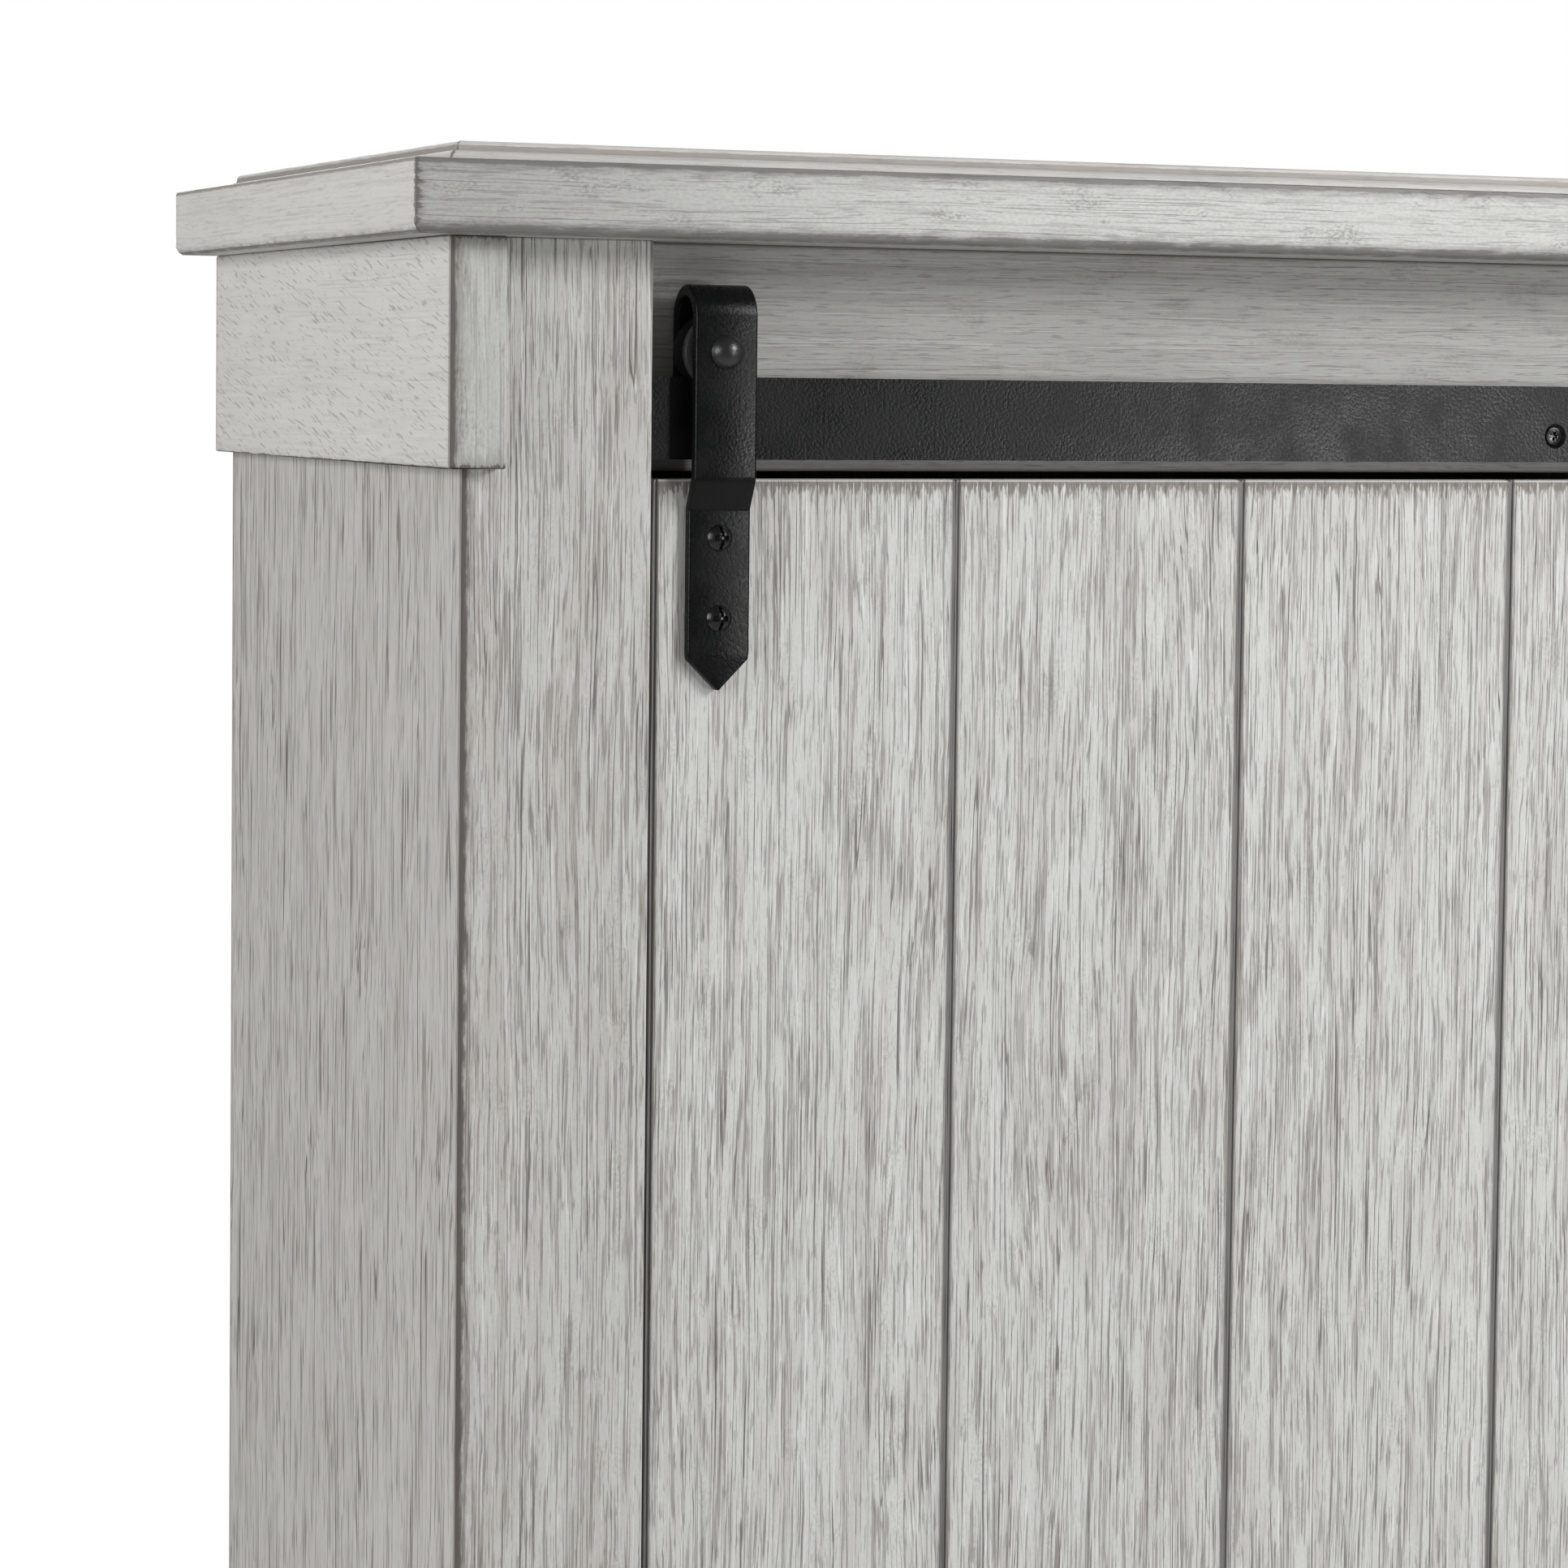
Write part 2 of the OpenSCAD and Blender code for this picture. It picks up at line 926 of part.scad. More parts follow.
module door_plank_1() door_plank(0);
module door_plank_2() door_plank(1);
module door_plank_3() door_plank(2);
module door_plank_4() door_plank(3);

module ledge(index) {
    color(front_wood)
        in_case()
            translate([door_l + ledge_end, door_back, ledge_zs[index]])
                difference() {
                    rotate([90, 0, 90])
                        linear_extrude(ledge_l)
                            polygon([
                                [0, 0],
                                [ledge_t - ledge_edge, 0],
                                [ledge_t, ledge_edge],
                                [ledge_t, ledge_h - ledge_edge],
                                [ledge_t - ledge_edge, ledge_h],
                                [0, ledge_h]
                            ]);
                    for (plank = [0 : plank_count - 1], p = ledge_screw_places(plank))
                        translate([0, ledge_t, 0])
                            mirror([0, 1, 0])
                                sunk_screw(
                                    ledge_screw_head_r + hole_play,
                                    ledge_screw_r + hole_play,
                                    0,
                                    ledge_t + through,
                                    p[0] - door_l - ledge_end,
                                    p[1]
                                );
                }
}

module top_ledge() ledge(0);
module middle_ledge() ledge(1);
module bottom_ledge() ledge(2);

module ledge_screws() {
    color(screw_black)
        in_case()
            for (z = ledge_zs, plank = [0 : plank_count - 1], p = ledge_screw_places(plank))
                translate([0, door_back + ledge_t, z])
                    mirror([0, 1, 0])
                        sunk_screw(ledge_screw_head_r, ledge_screw_r, 0, ledge_screw_l, p[0], p[1]);
}

// ---- Hangers ----

// Side view of a strap as [y, z]: a bend over the roller, a short back leg,
// a long front leg and a joggle back to the door's face
module strap_profile() {
    bend_z = strap_top - bend_r;
    inner_r = bend_r - strap_t;
    low_front = door_recess - strap_t;
    difference() {
        translate([wheel_y, bend_z])
            circle(r = bend_r, $fn = round_fn);
        translate([wheel_y, bend_z])
            circle(r = inner_r, $fn = round_fn);
        translate([strap_front - through, bend_z - 2 * bend_r])
            square([strap_bend_d + 2 * through, 2 * bend_r]);
    }
    translate([strap_back - strap_t, back_leg_end])
        square([strap_t, bend_z - back_leg_end]);
    polygon([
        [strap_front, bend_z],
        [strap_front, joggle_top],
        [low_front, joggle_end],
        [low_front, strap_tip],
        [door_recess, strap_tip],
        [door_recess, joggle_end + strap_t / 3],
        [strap_front + strap_t, joggle_top + strap_t / 3],
        [strap_front + strap_t, bend_z]
    ]);
}

module hanger_strap(index) {
    x = strap_mids[index];
    half = strap_w / 2;
    color(black_iron)
        in_case()
            difference() {
                intersection() {
                    translate([x - half, 0, 0])
                        rotate([90, 0, 90])
                            linear_extrude(strap_w)
                                strap_profile();
                    translate([x, strap_back + through, 0])
                        rotate([90, 0, 0])
                            linear_extrude(strap_bend_d + 2 * through)
                                polygon([
                                    [-half, strap_top + through],
                                    [-half, strap_tip + half],
                                    [0, strap_tip],
                                    [half, strap_tip + half],
                                    [half, strap_top + through]
                                ]);
                }
                along_y(
                    axle_d / 2 + 0.05,
                    strap_front - through,
                    strap_back + through,
                    x,
                    axle_z
                );
                for (drop = hanger_screw_drops)
                    along_y(
                        hanger_screw_r + hole_play,
                        strap_front - through,
                        door_recess + through,
                        x,
                        slab_z - drop
                    );
            }
}

module left_hanger_strap() hanger_strap(0);
module right_hanger_strap() hanger_strap(1);

module axle_bolt(index) {
    dome_h = 6;
    color(black_iron)
        in_case()
            translate([strap_mids[index], 0, axle_z]) {
                along_y(axle_d / 2, strap_front, strap_back, 0, 0);
                translate([0, strap_front, 0])
                    rotate([90, 0, 0])
                        cap(dome_d / 2, dome_h);
            }
}

module left_axle_bolt() axle_bolt(0);
module right_axle_bolt() axle_bolt(1);

module axle_washers() {
    washer_r = 8;
    y_front = strap_front + strap_t;
    y_back = strap_back - strap_t - washer_t;
    color(soft_black)
        in_case()
            for (x = strap_mids, y = [y_front, y_back])
                difference() {
                    along_y(washer_r, y, y + washer_t, x, axle_z);
                    along_y(axle_d / 2 + hole_play, y - through, y + washer_t + through, x, axle_z);
                }
}

module hanger_screws() {
    tip_y = door_recess + plank_t - 4 - hole_play;
    head_y = door_recess - strap_t;
    color(screw_black)
        in_case()
            for (x = strap_mids, drop = hanger_screw_drops)
                difference() {
                    union() {
                        along_y(hanger_screw_r, head_y, tip_y, x, slab_z - drop);
                        translate([x, head_y, slab_z - drop])
                            rotate([90, 0, 0])
                                cap(hanger_head_d / 2, hanger_head_h);
                    }
                    translate([x, head_y - hanger_head_h, slab_z - drop])
                        rotate([90, 0, 0])
                            cross_recess(7, 1.7, 2.4);
                }
}

// Half section of a roller, as [radius, distance along the axle]
module roller_section() {
    half_w = roller_w / 2;
    flange_r = flange_d / 2;
    tread_r = tread_d / 2;
    bore_r = bush_r + 0.05;
    rim = 1;
    polygon([
        [bore_r, -half_w],
        [flange_r - rim, -half_w],
        [flange_r, -half_w + rim],
        [flange_r, -groove_rim_w / 2],
        [tread_r, -groove_w / 2],
        [tread_r, groove_w / 2],
        [flange_r, groove_rim_w / 2],
        [flange_r, half_w - rim],
        [flange_r - rim, half_w],
        [bore_r, half_w]
    ]);
}

module roller(index) {
    color(black_iron)
        in_case()
            translate([strap_mids[index], wheel_y, axle_z])
                rotate([90, 0, 0])
                    rotate_extrude($fn = round_fn)
                        roller_section();
}

module left_roller() roller(0);
module right_roller() roller(1);

module roller_bush(index) {
    color(rod_steel)
        in_case()
            difference() {
                along_y(
                    bush_r,
                    wheel_y - roller_w / 2,
                    wheel_y + roller_w / 2,
                    strap_mids[index],
                    axle_z
                );
                along_y(
                    axle_d / 2 + 0.05,
                    wheel_y - roller_w,
                    wheel_y + roller_w,
                    strap_mids[index],
                    axle_z
                );
            }
}

module left_roller_bush() roller_bush(0);
module right_roller_bush() roller_bush(1);

// ---- Pull ----

module door_pull() {
    round_r = 5;
    half_w = pull_w / 2;
    half_l = pull_l / 2;
    color(black_iron)
        in_case()
            translate([pull_x, pull_front + pull_t, pull_z])
                rotate([90, 0, 0])
                    linear_extrude(pull_t) {
                        translate([-half_w + round_r, -half_l])
                            square([pull_w - 2 * round_r, pull_l]);
                        translate([-half_w, -half_l + round_r])
                            square([pull_w, pull_l - 2 * round_r]);
                        for (x = [-1, 1], z = [-1, 1])
                            translate([x * (half_w - round_r), z * (half_l - round_r)])
                                circle(r = round_r, $fn = round_fn);
                    }
}

module pull_posts() {
    color(black_iron)
        in_case()
            for (side = [-1, 1])
                difference() {
                    along_y(
                        pull_post_r,
                        pull_front + pull_t,
                        door_recess,
                        pull_x,
                        pull_z + side * pull_post_at
                    );
                    along_y(
                        pull_screw_r + hole_play,
                        pull_front + pull_t + 8,
                        door_recess + through,
                        pull_x,
                        pull_z + side * pull_post_at
                    );
                }
}

module pull_screws() {
    color(screw_black)
        in_case()
            for (side = [-1, 1])
                translate([pull_x, 0, pull_z + side * pull_post_at]) {
                    along_y(pull_screw_r, pull_front + pull_t + 10, door_back, 0, 0);
                    translate([0, door_back, 0])
                        rotate([-90, 0, 0])
                            cap(pull_head_r, pull_head_h);
                }
}

left_side_panel();
right_side_panel();
left_stile();
right_stile();
frieze_rail();
bottom_rail();
top_slab();
top_board();
left_cap_board();
right_cap_board();
left_cap_block();
right_cap_block();
centre_partition();
bottom_board();
back_panel();
back_top_rail();
back_bottom_rail();
foot_blocks();
levelling_feet();
glue_blocks();
hat_shelf();
hat_shelf_cleats();
hanging_rod();
rod_sockets();
rod_socket_screws();
shelf_1();
shelf_2();
shelf_3();
shelf_4();
shelf_pins();
track_rail();
track_spacers();
track_screws();
door_bumpers();
floor_guide();
floor_guide_screws();
door_plank_1();
door_plank_2();
door_plank_3();
door_plank_4();
top_ledge();
middle_ledge();
bottom_ledge();
ledge_screws();
left_hanger_strap();
right_hanger_strap();
left_axle_bolt();
right_axle_bolt();
axle_washers();
hanger_screws();
door_pull();
pull_posts();
pull_screws();
left_roller();
right_roller();
left_roller_bush();
right_roller_bush();
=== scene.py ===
"""Wardrobe with one barn-style sliding door: brushed, whitewashed boards and black iron.

Everything is in metres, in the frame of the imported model: X along the front, Y from
front to back, Z up. Places and sizes come from the boxes of the CAD nodes.
"""

import sys
import logging
import math
from dataclasses import dataclass, field
from enum import Enum

import bpy
import numpy as np
from mathutils import Matrix, Vector


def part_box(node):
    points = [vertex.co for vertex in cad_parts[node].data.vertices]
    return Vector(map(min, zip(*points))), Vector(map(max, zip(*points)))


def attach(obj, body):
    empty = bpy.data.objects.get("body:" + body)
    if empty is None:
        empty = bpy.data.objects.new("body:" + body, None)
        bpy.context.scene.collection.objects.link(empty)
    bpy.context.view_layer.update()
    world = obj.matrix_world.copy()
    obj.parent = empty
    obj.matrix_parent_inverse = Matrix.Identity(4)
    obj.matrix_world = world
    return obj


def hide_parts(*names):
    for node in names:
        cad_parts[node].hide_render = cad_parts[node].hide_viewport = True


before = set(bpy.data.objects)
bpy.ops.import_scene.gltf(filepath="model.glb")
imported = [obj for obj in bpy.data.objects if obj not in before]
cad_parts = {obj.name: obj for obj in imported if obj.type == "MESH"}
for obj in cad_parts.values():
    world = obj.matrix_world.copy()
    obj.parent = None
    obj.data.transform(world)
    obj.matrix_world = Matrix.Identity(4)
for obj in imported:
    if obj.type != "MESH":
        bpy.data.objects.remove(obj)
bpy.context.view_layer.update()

log = logging.getLogger("wardrobe")

MM = 0.001
GRAIN_MAP = "grain"
WEAR_MAP = "wear"
FAR = 1.0
SEAM = -1 * MM
ARC_STEPS = 4
ARRIS_FADE = 2.5 * MM
END_FADE = 4 * MM
EDGE_ONLY = 20 * MM
DENT_DEPTH = 0.12 * MM
DENT_REACH = 1.2 * MM
END_GRAIN = 9.0
SMOOTH_ANGLE = math.radians(38)
RIGHT, BACK, UP = np.eye(3)
Array = np.ndarray
Colour = tuple[float, float, float]


# ---- Shapes ----


class Axis(Enum):
    """Direction that the grain of a board runs in."""

    X = 0
    Y = 1
    Z = 2


def unit(v: Array) -> Array:
    """Vectors along the last axis, scaled to length one."""
    return v / np.maximum(np.linalg.norm(v, axis=-1, keepdims=True), 1e-12)


def smooth(t: Array) -> Array:
    """Smooth step 3t^2 - 2t^3 of t held between 0 and 1."""
    t = np.clip(t, 0, 1)
    return t * t * (3 - 2 * t)


def rough_field(x: Array, y: Array, seed: int) -> Array:
    """Value noise from 0 to 1.

    Random heights stand on a whole-number lattice and are blended between the four
    lattice corners round a point by the smooth step in both directions.

    Args:
        x: First coordinates, one unit per lattice cell.
        y: Second coordinates, of a shape that broadcasts with x.
        seed: Seed of the random heights.

    Returns:
        Heights, of the broadcast shape.
    """
    table = np.random.default_rng(seed).random((256, 256))
    x0, y0 = np.floor(x), np.floor(y)
    fx, fy = smooth(x - x0), smooth(y - y0)
    i0, j0 = x0.astype(int) % 256, y0.astype(int) % 256
    i1, j1 = (i0 + 1) % 256, (j0 + 1) % 256
    low = table[i0, j0] * (1 - fx) + table[i1, j0] * fx
    high = table[i0, j1] * (1 - fx) + table[i1, j1] * fx
    return low * (1 - fy) + high * fy


def brushed_depth(along: Array, across: Array, seed: int) -> Array:
    """Depth of wire-brushed grain, from 0 on a ridge to 1 in a furrow.

    Furrows are value noise drawn out along the grain, a few millimetres apart across
    it. The across coordinate first wanders by slower noise, so furrows swing sideways.

    Args:
        along: Coordinates along the grain.
        across: Coordinates across the grain, which broadcast with along.
        seed: Seed of this board.

    Returns:
        Depths, of the broadcast shape.
    """
    swing = 7 * MM * (rough_field(along / 0.17, across / 0.06, seed) - 0.5)
    place = across + swing
    furrows = rough_field(along / 0.09, place / (2.6 * MM), seed + 1)
    swells = rough_field(along / 0.23, place / (9 * MM), seed + 2)
    return smooth((0.7 * furrows + 0.3 * swells - 0.3) / 0.5)


def spread(length: float, fine: float, coarse: float) -> Array:
    """Places from 0 to length, close together at both ends and wider apart between.

    Steps start at fine and grow by half each time up to coarse, from both ends; they
    are then scaled a little to fill the length.

    Args:
        length: Distance to fill.
        fine: First and last step.
        coarse: Largest step.

    Returns:
        Increasing places, 0 and length included.
    """
    count = max(1, math.ceil(length / fine))
    steps = np.minimum(fine * 1.5 ** np.minimum(np.arange(count), 40), coarse)
    reach = np.cumsum(steps)
    half = steps[: int(np.searchsorted(reach, length / 2)) + 1]
    steps = np.concatenate([half, half[::-1]])
    places = np.concatenate([[0.0], np.cumsum(steps)])
    return places * length / places[-1]


def fillet(before: Array, corner: Array, after: Array, radius: float, steps: int) -> Array:
    """Arc that rounds a corner.

    The arc's centre lies on the bisector of the corner, and its points are the vector
    from the centre to the first tangent point turned evenly to the second one.

    Args:
        before: Point before the corner.
        corner: The corner.
        after: Point after the corner.
        radius: Radius of the arc.
        steps: Number of segments.

    Returns:
        Points of the arc, the two tangent points included, as rows.
    """
    d0, d1 = unit(before - corner), unit(after - corner)
    angle = math.acos(float(np.clip(d0 @ d1, -1, 1)))
    centre = corner + unit(d0 + d1) * radius / math.sin(angle / 2)
    reach = radius / math.tan(angle / 2)
    v0, v1 = corner + d0 * reach - centre, corner + d1 * reach - centre
    turn = math.pi - angle
    t = np.linspace(0, 1, steps + 1)[:, None]
    return centre + (np.sin((1 - t) * turn) * v0 + np.sin(t * turn) * v1) / math.sin(turn)


@dataclass(frozen=True)
class Corner:
    """One corner of a section and the edge that follows it.

    Attributes:
        x: First coordinate.
        y: Second coordinate.
        ease: Radius that the corner is eased to.
        step: Spacing of points on the edge that follows, or 0 for none.
        worn: Whether glaze gathers at this corner.
        relief: Whether the edge that follows has brushed grain.
        seam: Whether the edge that follows lies in the groove between two boards.
    """

    x: float
    y: float
    ease: float = 0.0
    step: float = 0.0
    worn: bool = True
    relief: bool = False
    seam: bool = False


@dataclass
class Section:
    """Closed outline of a board across its length.

    Attributes:
        points: Points of the outline as rows.
        run: Distance round the outline to each point, and one more for its end.
        normals: Outward directions.
        wear: Distance from each point to the nearest worn corner.
        relief: Share of the brushed depth that each point takes.
    """

    points: Array
    run: Array
    normals: Array
    wear: Array
    relief: Array

    @staticmethod
    def of(corners: list[Corner]) -> "Section":
        """Builds the outline through some corners.

        Each corner becomes an arc or a single point. The edge between two corners is
        divided evenly, and each of its points keeps the distance to the nearer worn
        end. Normals are the outline's central differences turned by a right angle.

        Args:
            corners: Corners in anticlockwise order.

        Returns:
            The section.
        """
        at = np.array([(c.x, c.y) for c in corners])
        arcs = [
            fillet(at[k - 1], at[k], at[(k + 1) % len(at)], c.ease, ARC_STEPS)
            if c.ease
            else at[k][None]
            for k, c in enumerate(corners)
        ]
        points, wear, relief = [], [], []
        for k, c in enumerate(corners):
            following = corners[(k + 1) % len(corners)]
            start, end = arcs[k][-1], arcs[(k + 1) % len(arcs)][0]
            length = float(np.linalg.norm(end - start))
            count = max(1, round(length / c.step)) if c.step else 1
            inner = np.linspace(0, length, count + 1)[1:-1]
            points += [arcs[k], start + (end - start) * (inner / length)[:, None]]
            near = np.minimum(
                inner if c.worn else FAR, (length - inner) if following.worn else FAR
            ) * np.ones(len(inner))
            wear += [
                np.full(len(arcs[k]), SEAM if c.seam or corners[k - 1].seam else 0.0 if c.worn else FAR),
                np.full(len(inner), SEAM) if c.seam else near,
            ]
            ends = np.minimum(inner, length - inner)
            relief += [np.zeros(len(arcs[k])), smooth(ends / ARRIS_FADE) * c.relief]
        ring = np.concatenate(points)
        steps = np.linalg.norm(np.roll(ring, -1, 0) - ring, axis=1)
        along = np.roll(ring, -1, 0) - np.roll(ring, 1, 0)
        return Section(
            ring,
            np.concatenate([[0.0], np.cumsum(steps)]),
            unit(np.stack([along[:, 1], -along[:, 0]], 1)),
            np.concatenate(wear),
            np.concatenate(relief),
        )


@dataclass
class Skin:
    """Closed surface: points, faces, grain coordinates of the faces and wear of the points.

    Attributes:
        points: Points as rows.
        faces: Groups of faces with equal corner counts, as index rows.
        grain: For each group, coordinates along and across the grain at each corner.
        wear: At each point, distance to a worn arris, distance to an end, and depth.
    """

    points: Array
    faces: list[Array]
    grain: list[Array]
    wear: Array

    @staticmethod
    def grid(
        points: Array,
        grain: Array,
        wear: Array | None = None,
        lids: Array | None = None,
        wrap: bool = False,
        flip: bool = False,
        skip: Array | None = None,
    ) -> "Skin":
        """Surface over a grid of stations and ring points.

        A quad joins each pair of neighbouring stations and ring points. The ring is
        closed on itself. Without wrap, the first and the last ring get a lid each.

        Args:
            points: Array of stations, ring points and three coordinates.
            grain: Stations, ring points plus one, and two coordinates.
            wear: Stations, ring points and three values, or nothing.
            lids: Grain coordinates of the two lids' ring points, or nothing.
            wrap: Whether the stations close on themselves too.
            flip: Whether the faces turn the other way.
            skip: Mask of stations less one and ring points for quads to leave out;
                its caller adds the faces that close the surface.

        Returns:
            The surface.
        """
        rows, ring = points.shape[:2]
        last = rows if wrap else rows - 1
        i, j = np.meshgrid(np.arange(last), np.arange(ring), indexing="ij")
        i1, j1 = (i + 1) % rows, (j + 1) % ring
        quads = np.stack([i * ring + j, i * ring + j1, i1 * ring + j1, i1 * ring + j], -1)
        gi = i1 if not wrap else i
        coords = np.stack([grain[i, j], grain[i, j + 1], grain[gi, j + 1], grain[gi, j]], -2)
        keep = np.ones((last, ring), bool) if skip is None else ~skip
        faces, uvs = [quads[keep]], [coords[keep]]
        if not wrap:
            lid = np.arange(ring)
            ends = np.zeros((2, ring, 2)) if lids is None else lids
            faces += [lid[::-1][None], ((rows - 1) * ring + lid)[None]]
            uvs += [ends[0][::-1][None], ends[1][None]]
        if flip:
            faces, uvs = [f[:, ::-1] for f in faces], [g[:, ::-1] for g in uvs]
        flat = np.full((rows * ring, 3), FAR) if wear is None else wear.reshape(-1, 3)
        return Skin(points.reshape(-1, 3), faces, uvs, flat)

    @staticmethod
    def joined(skins: list["Skin"]) -> "Skin":
        """Several closed surfaces as one piece."""
        starts = np.cumsum([0] + [len(s.points) for s in skins])
        return Skin(
            np.concatenate([s.points for s in skins]),
            [f + n for s, n in zip(skins, starts) for f in s.faces],
            [g for s in skins for g in s.grain],
            np.concatenate([s.wear for s in skins]),
        )

    def outward(self) -> "Skin":
        """Turns all faces round when the surface encloses a negative volume.

        The volume is the sum over all faces, cut into fans of triangles, of a sixth
        of the triple product of each triangle's corners.
        """
        fans = (self.points[group] for group in self.faces)
        if sum(float(np.sum(p[:, :1] * np.cross(p[:, 1:-1], p[:, 2:]))) for p in fans) < 0:
            self.faces = [f[:, ::-1] for f in self.faces]
            self.grain = [g[:, ::-1] for g in self.grain]
        return self

    def piece(
        self, name: str, body: str, slot: str, dress: bpy.types.Material, *nodes: str
    ) -> bpy.types.Object:
        """Makes the surface an object that rides on a body.

        Args:
            name: Name of the piece.
            body: CAD body that it rides on.
            slot: Material slot of the record; not used.
            dress: Material.
            *nodes: CAD nodes that it replaces.

        Returns:
            The object.
        """
        mesh = bpy.data.meshes.new(name)
        mesh.from_pydata(self.points.tolist(), [], [f for group in self.faces for f in group.tolist()])
        layer = mesh.uv_layers.new(name=GRAIN_MAP)
        layer.data.foreach_set("uv", np.concatenate([g.reshape(-1) for g in self.grain]).astype(np.float32))
        wear = mesh.attributes.new(WEAR_MAP, "FLOAT_VECTOR", "POINT")
        wear.data.foreach_set("vector", self.wear.reshape(-1).astype(np.float32))
        mesh.polygons.foreach_set("use_smooth", np.ones(len(mesh.polygons), bool))
        mesh.set_sharp_from_angle(angle=SMOOTH_ANGLE)
        mesh.materials.append(dress)
        mesh.validate()
        obj = bpy.data.objects.new(name, mesh)
        bpy.context.scene.collection.objects.link(obj)
        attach(obj, body)
        if nodes:
            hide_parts(*nodes)
        log.info("%s: %d faces on %s", name, len(mesh.polygons), body)
        return obj


@dataclass
class Board:
    """Board with eased arrises whose section is carried along its length.

    Attributes:
        section: Outline across the board.
        origin: Place of the section's zero at the first end.
        a: Direction of the section's first coordinate.
        b: Direction of its second coordinate.
        c: Direction of the length.
        length: Length.
        seed: Seed of this board's grain.
        depth: Depth of the brushed grain.
        ease: Radius that the ends are eased to.
        step: Largest spacing of stations along the length.
        crossed: Whether the grain runs round the section and not along the length.
        worn_ends: Whether glaze gathers at the first and at the last end.
        guide: Low and high b of a slot cut up into the first end, and its depth.
    """

    section: Section
    origin: Array
    a: Array
    b: Array
    c: Array
    length: float
    seed: int
    depth: float = 0.0
    ease: float = 0.8 * MM
    step: float = 12 * MM
    crossed: bool = False
    worn_ends: tuple[bool, bool] = (True, True)
    guide: tuple[float, float, float] | None = None

    def skin(self) -> Skin:
        """Works out the board's surface.

        A point is the origin plus its section coordinates along a and b and its
        station along c. At the ends the section shrinks by the ease along its normals
        on a quarter circle. Brushed grain and small dents in the arrises push points
        inwards along the same normals.

        Returns:
            The surface.
        """
        s = self.section
        turn = np.linspace(0, math.pi / 2, ARC_STEPS + 1)
        tail = self.ease * (1 - np.cos(turn))
        middle = self.ease + spread(self.length - 2 * self.ease, 1 * MM, self.step)
        if self.guide:
            middle = np.unique(np.append(middle, self.guide[2]))
        stations = np.concatenate([tail[:-1], middle, (self.length - tail[:-1])[::-1]])
        inset = np.zeros(len(stations))
        inset[:ARC_STEPS] = self.ease * (1 - np.sin(turn[:-1]))
        inset[-ARC_STEPS:] = inset[:ARC_STEPS][::-1]
        run = s.run[:-1]
        depth = brushed_depth(stations[:, None], run[None], self.seed) * s.relief
        ends = np.minimum(stations, self.length - stations)
        depth = depth * smooth(ends / END_FADE)[:, None]
        dents = rough_field(stations[:, None] / 0.03, run[None] / 0.05, self.seed + 5)
        worn = np.exp(-s.wear / DENT_REACH) * smooth((dents - 0.55) / 0.35) * DENT_DEPTH
        push = inset[:, None] + depth * self.depth + worn * (self.depth > 0)
        flat = s.points - s.normals * push[..., None]
        points = (
            self.origin
            + flat[..., :1] * self.a
            + flat[..., 1:] * self.b
            + np.broadcast_to(stations[:, None, None], flat.shape[:2] + (1,)) * self.c
        )
        near_end = np.minimum(
            stations if self.worn_ends[0] else FAR,
            (self.length - stations) if self.worn_ends[1] else FAR,
        ) * np.ones(len(stations))
        shape = flat.shape[:2]
        wear = np.stack(
            [np.broadcast_to(s.wear, shape), np.broadcast_to(near_end[:, None], shape), depth], -1
        )
        shift = np.random.default_rng(self.seed).random(2) * 40
        u, v = np.meshgrid(stations, s.run, indexing="ij")
        grain = np.stack([v, u] if self.crossed else [u, v], -1) + shift
        lids = flat[[0, -1]][..., ::-1] * (END_GRAIN, 1) + shift
        flip = float(np.cross(self.a, self.b) @ self.c) < 0
        if not self.guide:
            return Skin.grid(points, grain, wear, lids, flip=flip)
        return self._slotted(points, grain, wear, lids, flip, stations)

    def _slotted(
        self, points: Array, grain: Array, wear: Array, lids: Array, flip: bool, stations: Array
    ) -> Skin:
        """Closes the first end of the board round the slot for the floor guide.

        The quads of the ring between the slot's two planes are left out below its
        ceiling. Two walls, the ceiling and two lips close the end instead.
        """
        low, high, deep = self.guide
        rows, ring = points.shape[:2]
        top = int(np.argmin(np.abs(stations - deep)))
        b = self.section.points[:, 1]
        order = np.arange(ring)
        marks_low = order[np.isclose(b, low, atol=1e-6)]
        marks_high = order[np.isclose(b, high, atol=1e-6)]
        r_low, l_low = int(marks_low[0]), int(marks_low[-1])
        r_high, l_high = int(marks_high[0]), int(marks_high[-1])
        inside = np.zeros(ring, bool)
        inside[r_low:r_high] = True
        inside[l_high:l_low] = True
        skip = np.zeros((rows - 1, ring), bool)
        skip[:top] = inside
        skin = Skin.grid(points, grain, wear, lids, skip=skip)
        skin.faces, skin.grain = [skin.faces[0], skin.faces[2]], [skin.grain[0], skin.grain[2]]
        down = np.arange(top, -1, -1) * ring
        faces = [
            np.concatenate([down + r_low, (down + l_low)[::-1]]),
            np.concatenate([down + l_high, (down + r_high)[::-1]]),
            top * ring + np.concatenate([order[r_low : r_high + 1], order[l_high : l_low + 1]])[::-1],
            np.concatenate([order[l_low:], order[: r_low + 1]])[::-1],
            order[r_high : l_high + 1][::-1],
        ]
        skin.faces += [f[None] for f in faces]
        skin.grain += [lids[0][f % ring][None] for f in faces]
        if flip:
            skin.faces, skin.grain = [f[:, ::-1] for f in skin.faces], [g[:, ::-1] for g in skin.grain]
        return skin


